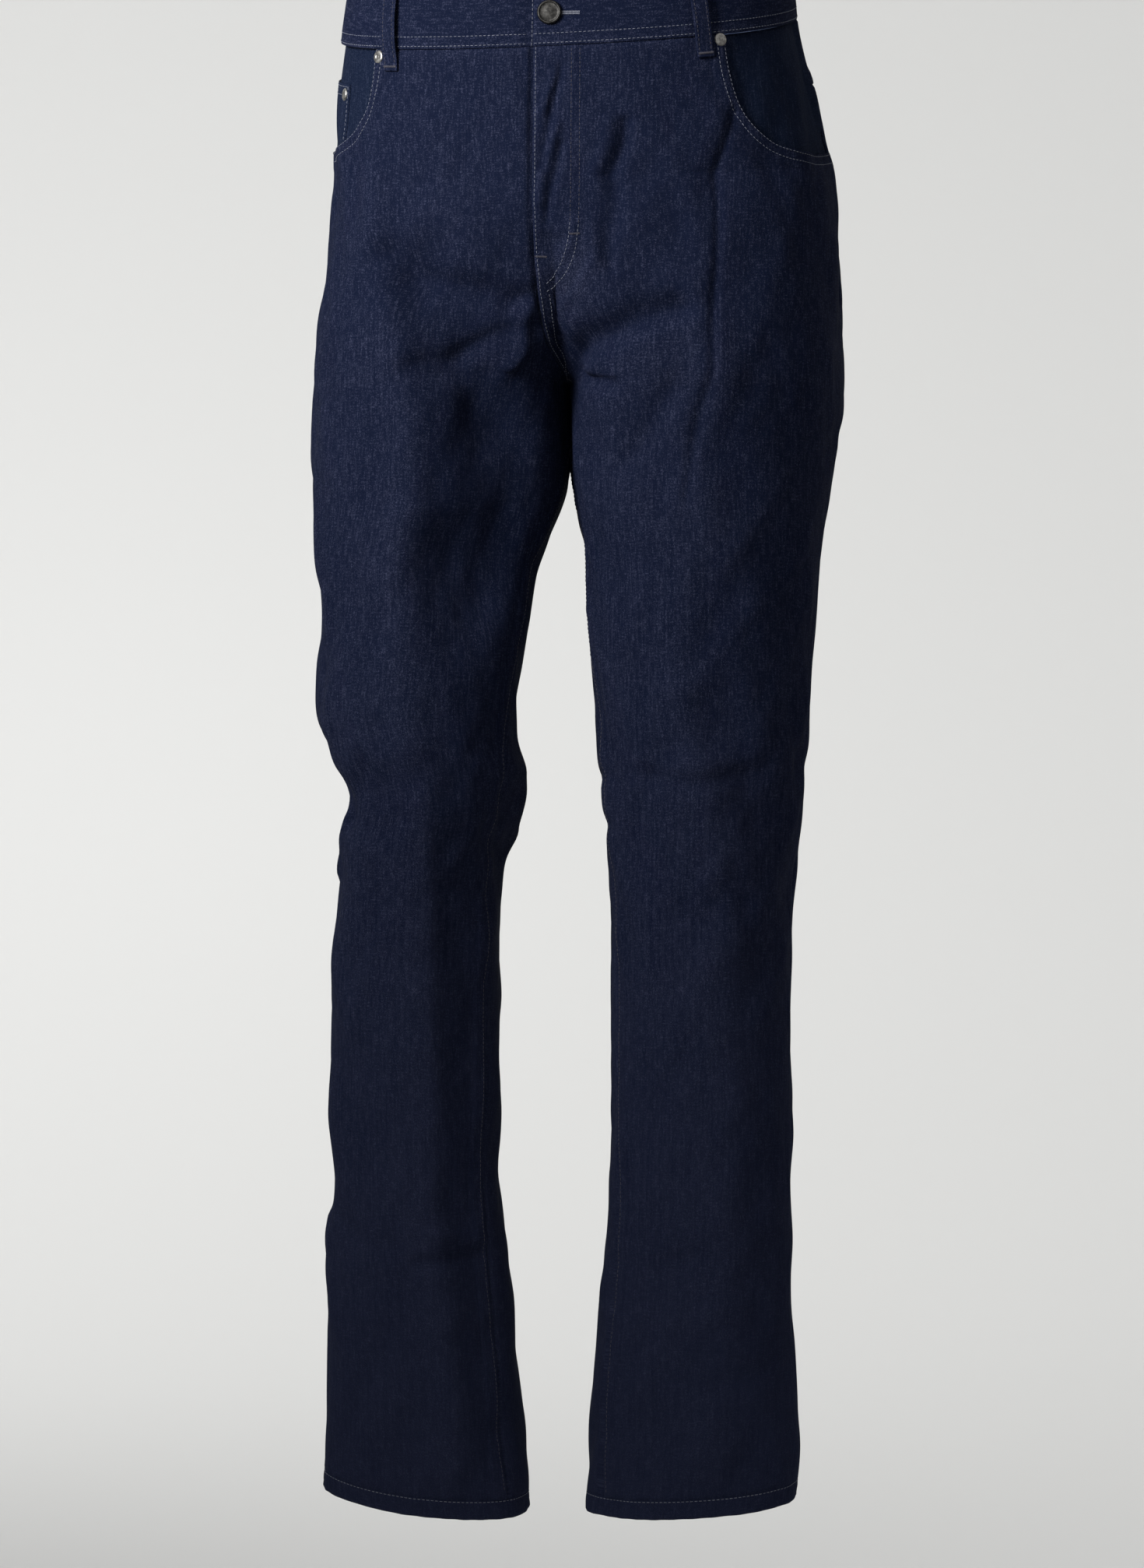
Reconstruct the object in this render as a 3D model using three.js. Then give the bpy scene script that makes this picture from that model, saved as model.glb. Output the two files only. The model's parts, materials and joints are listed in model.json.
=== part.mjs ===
// Slim fit five-pocket jeans in rigid dark denim, in the hollow form they keep when worn: the
// wearer's left leg is straight and the right knee is bent forward. Millimetres, +Z up, -Y is the
// front and +X is the wearer's left. The origin is the centre of the waist opening, where the body
// inside holds the garment, so everything hangs below it.
//
// The cloth follows one surface, ring(), made of sections taken down each leg. A point on it is
// named by which leg it is on, by the angle t round the section (0 outermost, 90 front, 180
// innermost, -90 back) and by the level z below the waist. Above the crotch the two legs' sections
// run into each other and are cut at the middle plane, which gives the centre seams.
import * as THREE from 'three';

// ---- Driving dimensions ----
const CLOTH = 1.2;            // denim wall
const BAND_CLOTH = 2.2;       // waistband, two layers
const LOOP_CLOTH = 1.6;       // belt loop, folded strip
const HEM_CLOTH = 2.6;        // hem, three layers
const SEAM_GAP = 0.3;         // between neighbouring pieces
const SIDE_GAP = 0.25;        // from the outseam to each panel's edge
const HEM_GAP = 1;            // above the hem, whose columns differ from the panels'
const BAND_PROUD = 0.5;       // the band's face stands out over the panels it holds
const WAIST_TOP = 4;          // levels z count from here down, so that the tables stay round
const WAIST_SEAM = -38;       // lower edge of the waistband
const CROTCH = -290;
const HEM_TOP = -1074;
const HEM_END = -1087;
const CROTCH_REACH = 150;     // height over which the two legs grow into one body
const HIP_ROUNDNESS = 2.25;   // exponent of a section's outline: 2 is an ellipse
const LEG_ROUNDNESS = 2.06;
const WAIST_PITCH = 12;       // degrees: the waist dips at the front
const WAIST_ROLL = 1.8;       // degrees: the waist rises to the wearer's left
const TILT_START = -250;      // the waist's tilt grows from here
const TILT_FULL = -45;        // to here
const HANG_START = -900;      // the hems' uneven hang grows from here down
const LAP_WIDTH = 11;         // the left front reaches this far past the centre, over the right
const LAP_END = CROTCH + 42;  // from here down the lap narrows to nothing at the crotch
const FLY_END = -205;         // the right front's hidden edge draws back from here
const FLY_CLOSED = -236;      // to here,
const UNDERLAP_END = -260;    // and lies level with the left front from here down
const FOLD_START = 2;         // folds grow from this far from the middle plane
const FOLD_CLEAR = 30;        // to this far
const BAND_STEP = 9;          // degrees between the waistband's columns
const ANGLE_TOLERANCE = 1e-6;

// pocketTop is the angle where the pocket's mouth meets the waistband, and loop the angles of the
// front belt loop's two ends. hemLift raises the hem on the outer side, and hemDrop and hemDip
// lower it all round and in front. levels are the panels' rows below the crotch.
const LEFT = {
  name: 'left',
  sign: 1,
  pocketTop: 45,
  pocketDepth: 93,
  pocketCurve: 0.54,
  loop: { top: 54.6, end: 52.4 },
  hemLift: 8.5,
  hemDrop: -3.5,
  hemDip: 7,
  levels: [-320, -350, -380, -420, -480, -545, -610, -690, -780, -870, -960, HEM_TOP],
};
const RIGHT = {
  name: 'right',
  sign: -1,
  pocketTop: 40.2,
  pocketDepth: 80,
  pocketCurve: 0.7,
  loop: { top: 45.5, end: 48 },
  hemLift: 16.5,
  hemDrop: -2,
  hemDip: 9,
  levels: [
    -322, -347, -375, -410, -450, -490, -522, -545, -565, -585, -608, -635, -668, -710, -780, -860,
    -940, -1010, HEM_TOP,
  ],
};
const SIDES = [LEFT, RIGHT];

// Sections of each leg. out and inner are distances from the middle plane, front and back are y,
// and inner only counts below the crotch.
LEFT.sections = [
  { z: 0, out: 155, inner: 0, front: -119, back: 118 },
  { z: -50, out: 161, inner: 0, front: -121, back: 122 },
  { z: -105, out: 174, inner: 0, front: -124, back: 129 },
  { z: -165, out: 187.5, inner: 0, front: -125, back: 137 },
  { z: -235, out: 190, inner: 0, front: -122, back: 138 },
  { z: -290, out: 192, inner: 0, front: -117, back: 125 },
  { z: -345, out: 186, inner: 0.8, front: -107, back: 106 },
  { z: -375, out: 182, inner: 4, front: -104, back: 97 },
  { z: -415, out: 177, inner: 11, front: -100, back: 88 },
  { z: -480, out: 171, inner: 14.5, front: -91, back: 75 },
  { z: -560, out: 167, inner: 22, front: -79, back: 64 },
  { z: -635, out: 158, inner: 26.5, front: -70, back: 67 },
  { z: -700, out: 155, inner: 28, front: -64, back: 68 },
  { z: -780, out: 156, inner: 28, front: -58, back: 61 },
  { z: -860, out: 155, inner: 27, front: -55, back: 54 },
  { z: -945, out: 157, inner: 20, front: -53, back: 49 },
  { z: -1020, out: 160, inner: 13.5, front: -52, back: 47 },
  { z: -1087, out: 160, inner: 10.5, front: -52, back: 46 },
];
RIGHT.sections = [
  { z: 0, out: 158, inner: 0, front: -119, back: 118 },
  { z: -50, out: 165, inner: 0, front: -121, back: 122 },
  { z: -105, out: 169, inner: 0, front: -124, back: 129 },
  { z: -165, out: 171, inner: 0, front: -125, back: 137 },
  { z: -235, out: 178, inner: 0, front: -122, back: 138 },
  { z: -290, out: 182.5, inner: 0, front: -117, back: 123 },
  { z: -345, out: 182.5, inner: 0.5, front: -120, back: 95 },
  { z: -375, out: 180, inner: 4.5, front: -121, back: 80 },
  { z: -415, out: 177, inner: 20.5, front: -123, back: 62 },
  { z: -455, out: 171, inner: 25, front: -126, back: 46 },
  { z: -490, out: 172, inner: 30.5, front: -128, back: 34 },
  { z: -525, out: 174, inner: 35.5, front: -129, back: 24 },
  { z: -558, out: 161, inner: 38, front: -128, back: 17 },
  { z: -584, out: 151, inner: 41, front: -123, back: 21 },
  { z: -612, out: 157.5, inner: 44.5, front: -113, back: 27 },
  { z: -650, out: 161, inner: 47.5, front: -102, back: 34 },
  { z: -700, out: 167, inner: 49, front: -90, back: 40 },
  { z: -780, out: 169.5, inner: 49, front: -76, back: 44 },
  { z: -860, out: 169, inner: 50, front: -68, back: 44 },
  { z: -945, out: 173, inner: 41, front: -62, back: 43 },
  { z: -1020, out: 174, inner: 34, front: -60, back: 42 },
  { z: -1091, out: 176.5, inner: 28.5, front: -60, back: 42 },
];

// Where the outseam and the inseam run round each leg, in degrees of t.
LEFT.seams = [
  { z: 0, outseam: -4, inseam: 180 },
  { z: CROTCH, outseam: -4, inseam: 180 },
  { z: -415, outseam: -2, inseam: 170 },
  { z: -700, outseam: 0, inseam: 152 },
  { z: -1085, outseam: 2, inseam: 142 },
];
RIGHT.seams = [
  { z: 0, outseam: -4, inseam: 180 },
  { z: CROTCH, outseam: -4, inseam: 180 },
  { z: -415, outseam: 0, inseam: 172 },
  { z: -700, outseam: 6, inseam: 156 },
  { z: -1085, outseam: 15, inseam: 146 },
];

// The largest folds: each runs from (t0, z0) to (t1, z1), and stands out or sinks by height.
LEFT.folds = [
  { name: 'crotch trough', t0: 140, z0: -262, t1: 88, z1: -232, width: 18, height: -5 },
  { name: 'front crease', t0: 50, z0: -118, t1: 88, z1: -372, width: 14, height: 2.5 },
  { name: 'seat drag', t0: -140, z0: -290, t1: -80, z1: -330, width: 20, height: -5 },
  { name: 'back of knee', t0: -60, z0: -560, t1: -150, z1: -548, width: 18, height: -4 },
];
RIGHT.folds = [
  { name: 'crotch trough', t0: 145, z0: -262, t1: 96, z1: -284, width: 19, height: -5 },
  { name: 'inner thigh trough', t0: 160, z0: -305, t1: 120, z1: -356, width: 20, height: -4 },
  { name: 'hip drag', t0: 62, z0: -165, t1: 108, z1: -235, width: 24, height: -2.5 },
  { name: 'knee bulge', t0: 190, z0: -566, t1: 202, z1: -604, width: 19, height: 14 },
  { name: 'back of knee upper', t0: -40, z0: -548, t1: -120, z1: -560, width: 18, height: -8 },
  { name: 'back of knee lower', t0: -50, z0: -604, t1: -130, z1: -612, width: 18, height: -6 },
  { name: 'seat drag', t0: -140, z0: -290, t1: -80, z1: -345, width: 20, height: -5 },
];

// ---- Numbers ----
const radians = (degrees) => degrees * Math.PI / 180;
const mix = (a, b, f) => a + (b - a) * f;

function ease(from, to, value) {
  const f = Math.min(1, Math.max(0, (value - from) / (to - from)));
  return f * f * (3 - 2 * f);
}

// A smooth value of one column of a table whose rows run downwards in z.
function column(rows, name, z) {
  if (z >= rows[0].z) {
    return rows[0][name];
  }
  const last = rows.length - 1;
  if (z <= rows[last].z) {
    return rows[last][name];
  }
  const k = rows.findIndex((row, index) => index < last && z <= row.z && z > rows[index + 1].z);
  const [a, b] = [rows[k], rows[k + 1]];
  const before = rows[Math.max(0, k - 1)];
  const after = rows[Math.min(last, k + 2)];
  const span = b.z - a.z;
  const slopeA = (b[name] - before[name]) / (b.z - before.z) * span;
  const slopeB = (after[name] - a[name]) / (after.z - a.z) * span;
  const f = (z - a.z) / span;
  const [f2, f3] = [f * f, f * f * f];
  return a[name] * (2 * f3 - 3 * f2 + 1) + slopeA * (f3 - 2 * f2 + f)
    + b[name] * (3 * f2 - 2 * f3) + slopeB * (f3 - f2);
}

// ---- The cloth's surface ----
// Half sizes and centre of a leg's section, and the angle at which it meets the middle plane.
function section(leg, z) {
  const [out, inner] = [column(leg.sections, 'out', z), column(leg.sections, 'inner', z)];
  const [front, back] = [column(leg.sections, 'front', z), column(leg.sections, 'back', z)];
  const roundness = mix(LEG_ROUNDNESS, HIP_ROUNDNESS, ease(CROTCH - 130, CROTCH + 60, z));
  let [half, middle] = [(out - inner) / 2, (out + inner) / 2];
  let meeting = 180;
  if (z > CROTCH) {
    const share = Math.max(0, 1 - (z - CROTCH) / CROTCH_REACH);
    half = out / (1 + share);
    middle = half * share;
    meeting = 180 - Math.acos(share ** (roundness / 2)) * 180 / Math.PI;
  }
  return { half, middle, front, back, roundness, meeting };
}

const power = (value, exponent) => Math.sign(value) * Math.abs(value) ** exponent;

// A leg's own section, which runs on through the middle plane.
function ring(leg, t, z) {
  const s = section(leg, z);
  const exponent = 2 / s.roundness;
  const depthMiddle = (s.front + s.back) / 2;
  const seam = SEAM_GAP / 2 * (1 + ease(FLY_CLOSED, CROTCH, z));
  const x = s.middle + s.half * power(Math.cos(radians(t)), exponent) + seam;
  const y = depthMiddle - (s.back - s.front) / 2 * power(Math.sin(radians(t)), exponent);
  const tilt = leg.sign * x * Math.tan(radians(WAIST_ROLL)) + y * Math.tan(radians(WAIST_PITCH));
  const [side, front] = [(1 + Math.cos(radians(t))) / 2, Math.sin(radians(t))];
  const hang = leg.hemLift * side - leg.hemDrop - leg.hemDip * Math.max(0, front);
  const level = z - WAIST_TOP + tilt * ease(TILT_START, TILT_FULL, z)
    + hang * ease(HANG_START, HEM_END, z);
  return new THREE.Vector3(leg.sign * x, y, level);
}

// Past the middle plane the cloth goes on over the other leg's section.
function owner(leg, t, z) {
  const { meeting } = section(leg, z);
  if (z <= CROTCH || Math.abs(t) <= meeting + ANGLE_TOLERANCE) {
    return [leg, t];
  }
  return [leg === LEFT ? RIGHT : LEFT, Math.sign(t) * (2 * meeting - Math.abs(t))];
}

// The outward normal of a surface at a point, from its slopes over a small turn and drop.
function normalOf(surface, leg, t, z) {
  const [turn, drop] = [0.4, 0.6];
  const across = surface(leg, t + turn, z).sub(surface(leg, t - turn, z));
  const down = surface(leg, t, z + drop).sub(surface(leg, t, z - drop));
  return across.cross(down).multiplyScalar(-leg.sign).normalize();
}

// How far the folds move the cloth in or out at a point. They fade out at the middle plane, which
// keeps the centre seams straight.
function foldHeight(leg, t, z) {
  const s = section(leg, z);
  const perDegree = radians((s.half + (s.back - s.front) / 2) / 2);
  const fromMiddle = Math.abs(ring(leg, t, z).x);
  const free = z > CROTCH - FOLD_CLEAR ? ease(FOLD_START, FOLD_CLEAR, fromMiddle) : 1;
  return free * leg.folds.reduce((sum, fold) => {
    let angle = t;
    while (angle - (fold.t0 + fold.t1) / 2 > 180) {
      angle -= 360;
    }
    while (angle - (fold.t0 + fold.t1) / 2 < -180) {
      angle += 360;
    }
    const run = new THREE.Vector2((fold.t1 - fold.t0) * perDegree, fold.z1 - fold.z0);
    const point = new THREE.Vector2((angle - fold.t0) * perDegree, z - fold.z0);
    const f = Math.min(1, Math.max(0, point.dot(run) / run.lengthSq()));
    const distance = point.distanceTo(run.clone().multiplyScalar(f));
    return sum + fold.height * Math.exp(-((distance / fold.width) ** 2));
  }, 0);
}

function folded(leg, t, z) {
  return ring(leg, t, z).addScaledVector(normalOf(ring, leg, t, z), foldHeight(leg, t, z));
}

// A point of the cloth moved out by offset, with its outward normal.
function clothPoint(leg, t, z, offset = 0) {
  const place = [...owner(leg, t, z), z];
  const normal = normalOf(folded, ...place);
  return { at: folded(...place).addScaledVector(normal, offset), normal };
}

// ---- Seams ----
const outseam = (leg, z) => column(leg.seams, 'outseam', z);

// Angle of the edge on the inner side: the middle plane above the crotch, the inseam below it.
const innerEdge = (leg, z) => (z > CROTCH ? section(leg, z).meeting : column(leg.seams, 'inseam', z));

// The angle that lies a length in millimetres further round from t, at a level.
function roundTo(leg, t, length, z) {
  const halvings = 24;
  const from = ring(...owner(leg, t, z), z);
  let [near, far] = [0, Math.abs(length)];
  for (let k = 0; k < halvings; k += 1) {
    const middle = (near + far) / 2;
    const there = ring(...owner(leg, t + Math.sign(length) * middle, z), z);
    [near, far] = there.distanceTo(from) > Math.abs(length) ? [near, middle] : [middle, far];
  }
  return t + Math.sign(length) * near;
}

// Values at equal lengths along a path on a leg, where place gives the angle and level of a value.
function evenly(leg, from, to, steps, place) {
  const samples = 300;
  let length = 0;
  const path = Array.from({ length: samples + 1 }, (_, k) => {
    const value = mix(from, to, k / samples);
    const { t, z } = place(value);
    return { value, at: ring(leg, t, z) };
  });
  path.forEach((sample, k) => {
    length += k > 0 ? sample.at.distanceTo(path[k - 1].at) : 0;
    sample.length = length;
  });
  return Array.from({ length: steps + 1 }, (_, k) => (
    path.find((sample) => sample.length >= length * k / steps - ANGLE_TOLERANCE).value));
}

// Levels at equal lengths along the centre seam, from a level down to the crotch point.
function centreLevels(leg, top, steps) {
  const level = (f) => CROTCH + (top - CROTCH) * (1 - f) ** 2;
  const place = (f) => ({ t: innerEdge(leg, level(f)), z: level(f) });
  return evenly(leg, 0, 1, steps, place).map(level);
}

// The scooped pocket opening: share 0 is at the waistband, 1 at the outseam. The smaller the
// pocket's curve, the squarer its corner.
function scoop(leg, share) {
  const beta = radians(90 * share);
  const z = WAIST_SEAM - leg.pocketDepth * Math.sin(beta) ** leg.pocketCurve;
  return { t: mix(outseam(leg, z), leg.pocketTop, Math.cos(beta) ** leg.pocketCurve), z };
}

const SCOOP_STEPS = 8;
const RISE_STEPS = 6;
const FRONT_BREAK = -175;     // level at the centre front that faces the pocket's lower end

// Row ends of a front panel, from the waist to the hem: outer edge, then inner edge.
function frontRows(leg) {
  const rows = [];
  const shares = evenly(leg, 0, 1, SCOOP_STEPS, (share) => scoop(leg, share));
  for (let k = 0; k < SCOOP_STEPS; k += 1) {
    rows.push({ outer: scoop(leg, shares[k]), inner: mix(WAIST_SEAM, FRONT_BREAK, k / SCOOP_STEPS) });
  }
  const levels = centreLevels(leg, FRONT_BREAK, RISE_STEPS);
  const corner = scoop(leg, 1).z;
  levels.forEach((inner, k) => {
    const z = mix(corner, CROTCH, k / RISE_STEPS);
    rows.push({ outer: { t: outseam(leg, z), z }, inner });
  });
  leg.levels.forEach((z) => rows.push({ outer: { t: outseam(leg, z), z }, inner: z }));
  return rows;
}

const YOKE_SIDE = -84;        // yoke seam at the outseam
const YOKE_CENTRE = -112;     // and at the centre back
const SEAT_STEPS = 9;

function backRows(leg) {
  const rows = centreLevels(leg, YOKE_CENTRE, SEAT_STEPS).map((inner, k) => {
    const z = mix(YOKE_SIDE, CROTCH, k / SEAT_STEPS);
    return { outer: { t: outseam(leg, z), z }, inner };
  });
  leg.levels.forEach((z) => rows.push({ outer: { t: outseam(leg, z), z }, inner: z }));
  return rows;
}

// ---- Solids ----
// A closed wall on a grid of cloth points; a ring joins its last column to its first.
function wallGeometry(grid, wall, ring = false) {
  const [rows, columns] = [grid.length, grid[0].length];
  const positions = [];
  const index = (layer, i, j) => layer * rows * columns + i * columns + (j % columns);
  [0, wall].forEach((depth) => grid.flat().forEach(({ at, normal }) => {
    positions.push(...at.clone().addScaledVector(normal, -depth).toArray());
  }));
  const faces = [];
  const quad = (a, b, c, d) => faces.push([a, b, c], [a, c, d]);
  const lastColumn = ring ? columns : columns - 1;
  for (let i = 0; i < rows - 1; i += 1) {
    for (let j = 0; j < lastColumn; j += 1) {
      quad(index(0, i, j), index(0, i + 1, j), index(0, i + 1, j + 1), index(0, i, j + 1));
      quad(index(1, i, j), index(1, i, j + 1), index(1, i + 1, j + 1), index(1, i + 1, j));
    }
    if (!ring) {
      quad(index(0, i, 0), index(1, i, 0), index(1, i + 1, 0), index(0, i + 1, 0));
      quad(index(0, i, lastColumn), index(0, i + 1, lastColumn),
        index(1, i + 1, lastColumn), index(1, i, lastColumn));
    }
  }
  for (let j = 0; j < lastColumn; j += 1) {
    const end = rows - 1;
    quad(index(0, 0, j), index(0, 0, j + 1), index(1, 0, j + 1), index(1, 0, j));
    quad(index(0, end, j), index(1, end, j), index(1, end, j + 1), index(0, end, j + 1));
  }
  const vertex = (k) => new THREE.Vector3().fromArray(positions, 3 * k);
  const volume = faces.reduce((sum, [a, b, c]) => sum + vertex(a).dot(vertex(b).cross(vertex(c))), 0);
  const geometry = new THREE.BufferGeometry();
  geometry.setAttribute('position', new THREE.Float32BufferAttribute(positions, 3));
  geometry.setIndex(faces.flatMap(([a, b, c]) => (volume > 0 ? [a, b, c] : [a, c, b])));
  return geometry;
}

const gridOf = (rows, columns, point) => Array.from(
  { length: rows + 1 },
  (_, i) => Array.from({ length: columns + 1 }, (__, j) => point(i / rows, j / columns)),
);

const denim = new THREE.MeshStandardMaterial({ color: 0x1e2640, roughness: 0.9, metalness: 0 });
const denimUnder = new THREE.MeshStandardMaterial({ color: 0x171d33, roughness: 0.9, metalness: 0 });
const gunmetal = new THREE.MeshStandardMaterial({ color: 0x3b3a37, roughness: 0.35, metalness: 1 });
const nickel = new THREE.MeshStandardMaterial({ color: 0x9a9a96, roughness: 0.3, metalness: 1 });

const jeans = new THREE.Group();

function addPiece(name, geometry, material) {
  const mesh = new THREE.Mesh(geometry, material);
  mesh.name = name;
  jeans.add(mesh);
  return mesh;
}

// ---- Panels ----
const PANEL_COLUMNS = 10;
const LEFT_STRIP = 15;        // narrow columns beside the centre front
const RIGHT_STRIP = 8;
const UNDER_MARGIN = 1.5;     // the underlap is fully set in this far outside the lap's edge
const FLY_SINK = CLOTH + 1.4; // how far the underlap is set in
const BAND_SINK = BAND_CLOTH + 2 * SEAM_GAP;   // how far the band's lower end is set in

// The left front's edge lies this far past the middle plane.
const lapAt = (z) => LAP_WIDTH * ease(CROTCH, LAP_END, z);

// In the fly the right front goes on under the lap to the middle plane, set in by sunk. Below it
// the right front's edge meets the left front's.
function underlap(z) {
  const edge = lapAt(z) + 2 * SEAM_GAP;
  return {
    reach: mix(edge, 0, ease(FLY_CLOSED, FLY_END, z)),
    sunk: -FLY_SINK * ease(UNDERLAP_END, FLY_CLOSED, z),
    edge,
  };
}

// The front, from the outseam to the centre front, with two narrow columns at the fly.
function frontPanel(leg) {
  const rows = frontRows(leg);
  const grid = rows.map(({ outer, inner }, i) => {
    const trim = (i === 0 ? -SEAM_GAP : 0) + (i === rows.length - 1 ? HEM_GAP : 0);
    const middle = innerEdge(leg, inner);
    const { reach, sunk, edge } = underlap(inner);
    const stripWidth = leg === LEFT ? LEFT_STRIP : edge + RIGHT_STRIP;
    const start = roundTo(leg, outer.t, SIDE_GAP, outer.z);
    const strip = roundTo(leg, middle, -stripWidth, inner);
    const row = [];
    for (let j = 0; j <= PANEL_COLUMNS; j += 1) {
      const f = j / PANEL_COLUMNS;
      row.push(clothPoint(leg, mix(start, strip, f), mix(outer.z, inner, f) + trim));
    }
    const [z, last] = [inner + trim, leg === LEFT ? lapAt(inner) : -reach];
    const inside = leg === LEFT ? 0 : -edge - UNDER_MARGIN;
    row.push(clothPoint(leg, roundTo(leg, middle, inside, inner), z, leg === LEFT ? 0 : sunk));
    row.push(clothPoint(leg, roundTo(leg, middle, last, inner), z, leg === LEFT ? 0 : sunk));
    return row;
  });
  return wallGeometry(grid, CLOTH);
}

// The back, from the outseam to the seat seam, and further down to the inseam.
function backPanel(leg) {
  const rows = backRows(leg);
  const grid = rows.map(({ outer, inner }, i) => {
    const trim = (i === 0 ? -SEAM_GAP : 0) + (i === rows.length - 1 ? HEM_GAP : 0);
    const start = roundTo(leg, outer.t, -SIDE_GAP, outer.z);
    const end = inner > CROTCH
      ? -innerEdge(leg, inner)
      : roundTo(leg, innerEdge(leg, inner) - 360, SEAM_GAP, inner);
    return Array.from({ length: PANEL_COLUMNS + 1 }, (_, j) => {
      const f = j / PANEL_COLUMNS;
      return clothPoint(leg, mix(start, end, f), mix(outer.z, inner, f) + trim);
    });
  });
  return wallGeometry(grid, CLOTH);
}

function yoke(leg) {
  const grid = gridOf(2, PANEL_COLUMNS, (v, u) => {
    const z = mix(WAIST_SEAM - SEAM_GAP, mix(YOKE_SIDE, YOKE_CENTRE, u), v);
    const start = roundTo(leg, outseam(leg, z), -SEAM_GAP / 2, z);
    return clothPoint(leg, mix(start, -innerEdge(leg, z), u), z);
  });
  return wallGeometry(grid, CLOTH);
}

// ---- Pockets ----
const FACING_SET_IN = -3.4;
const FACING_UNDER = 12;      // the facing goes on under the front panel by this much
const FACING_OUT = 6;         // above the mouth's lower end the facing comes out from here
const FACING_LEVEL = 20;      // to here

// It is set in under the front, and comes out level with the back where both are sewn together.
function pocketFacing(leg) {
  const mouth = WAIST_SEAM - leg.pocketDepth;
  const bottom = mouth - FACING_UNDER;
  const top = roundTo(leg, leg.pocketTop, FACING_UNDER, WAIST_SEAM);
  const grid = gridOf(6, 8, (v, u) => {
    const z = mix(WAIST_SEAM - 2 * SEAM_GAP, bottom, v);
    const start = roundTo(leg, outseam(leg, z), SEAM_GAP / 2, z);
    const level = u === 0 ? ease(mouth + FACING_OUT, mouth + FACING_LEVEL, z) : 0;
    return clothPoint(leg, mix(start, top, u), z, FACING_SET_IN * (1 - level));
  });
  return wallGeometry(grid, CLOTH);
}

const COIN = { front: 24, back: 2, top: -65 };   // the coin pocket's edges, degrees, and its top
const COIN_SET = FACING_SET_IN + SEAM_GAP + 0.1 + CLOTH;
const COIN_CLEAR = 1.5;       // its lower edge stays this far above the front panel's edge
const SHARE_STEP = 0.002;

function coinPocket() {
  const grid = gridOf(4, 4, (v, u) => {
    const t = mix(COIN.back, COIN.front, u);
    let share = 1;
    while (scoop(RIGHT, share).t < t && share > 0) {
      share -= SHARE_STEP;
    }
    return clothPoint(RIGHT, t, mix(COIN.top, scoop(RIGHT, share).z + COIN_CLEAR, v), COIN_SET);
  });
  return wallGeometry(grid, CLOTH);
}

// The back pocket: point is how far its lower tip hangs, taper its lower width over its upper,
// inset its distance from the middle plane and slope the rise of its mouth to the outer side.
const BACK_POCKET = {
  top: -124, length: 168, width: 150, point: 20, inset: 40, taper: 0.88, slope: 8,
};
const POCKET_CLEARANCE = 1.1;

// The angle on the back of a leg that lies x from the middle plane.
function backAngle(leg, x, z) {
  const { middle, half, roundness } = section(leg, z);
  return -Math.acos(power((x - middle) / half, roundness / 2)) * 180 / Math.PI;
}

// Point of a back pocket: down runs along its length and over from its inner to its outer edge.
function backPocketPoint(leg, down, over) {
  const p = BACK_POCKET;
  const depth = down * mix(p.length - p.point, p.length, 1 - Math.abs(2 * over - 1));
  const z = p.top + p.slope * (over - 0.5) - depth;
  const narrowing = p.width * (1 - p.taper) * down;
  const inner = backAngle(leg, p.inset + narrowing / 2, z);
  return { t: roundTo(leg, inner, over * (p.width - narrowing), z), z };
}

function backPocket(leg) {
  const grid = gridOf(7, 8, (v, u) => {
    const { t, z } = backPocketPoint(leg, v, u);
    return clothPoint(leg, t, z, POCKET_CLEARANCE + CLOTH);
  });
  return wallGeometry(grid, CLOTH);
}

// ---- Waistband ----
// Columns from the end that lies under, round the right side and the back, to the end on top.
const BAND_UNDER = [
  { leg: LEFT, t: 79 },
  { leg: LEFT, t: 84.5 },
  { leg: RIGHT, t: 90 },
  { leg: RIGHT, t: 84 },
];

function bandColumns() {
  const under = BAND_PROUD - BAND_SINK;
  const places = BAND_UNDER.map((place) => ({ ...place, set: under }));
  for (let t = 90 - 2 * BAND_STEP; t >= -90; t -= BAND_STEP) {
    places.push({ leg: RIGHT, t, set: BAND_PROUD });
  }
  for (let t = -90 + BAND_STEP; t <= 90; t += BAND_STEP) {
    places.push({ leg: LEFT, t, set: BAND_PROUD });
  }
  places.push({ leg: RIGHT, t: roundTo(RIGHT, 90, -LAP_WIDTH, WAIST_SEAM), set: BAND_PROUD });
  return places;
}

function waistband() {
  const levels = [WAIST_TOP, (WAIST_TOP + WAIST_SEAM) / 2, WAIST_SEAM];
  const grid = levels.map((z) => bandColumns().map(({ leg, t, set }) => clothPoint(leg, t, z, set)));
  return wallGeometry(grid, BAND_CLOTH);
}

// ---- Belt loops ----
const LOOP_WIDTH = 13;
const LOOP_BELOW = 15;        // the loop is sewn to the panel this far below the band
const LOOP_BOW = 3;           // and stands this far off the band at its middle
const LOOP_RISE = 0.5;        // above the band's top edge
const LOOP_BOWED = 0.86;      // the bow takes this share of its length
const LOOP_STEP = { from: 0.8, to: 0.95 };   // shares where it steps down off the band
const LOOP_PLACES = [
  { name: 'front_left', leg: LEFT, ...LEFT.loop },
  { name: 'front_right', leg: RIGHT, ...RIGHT.loop },
  { name: 'side_left', leg: LEFT, top: -27, end: -28 },
  { name: 'side_right', leg: RIGHT, top: -27, end: -28 },
  { name: 'back', leg: LEFT, top: -90, end: -90 },
];

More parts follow.
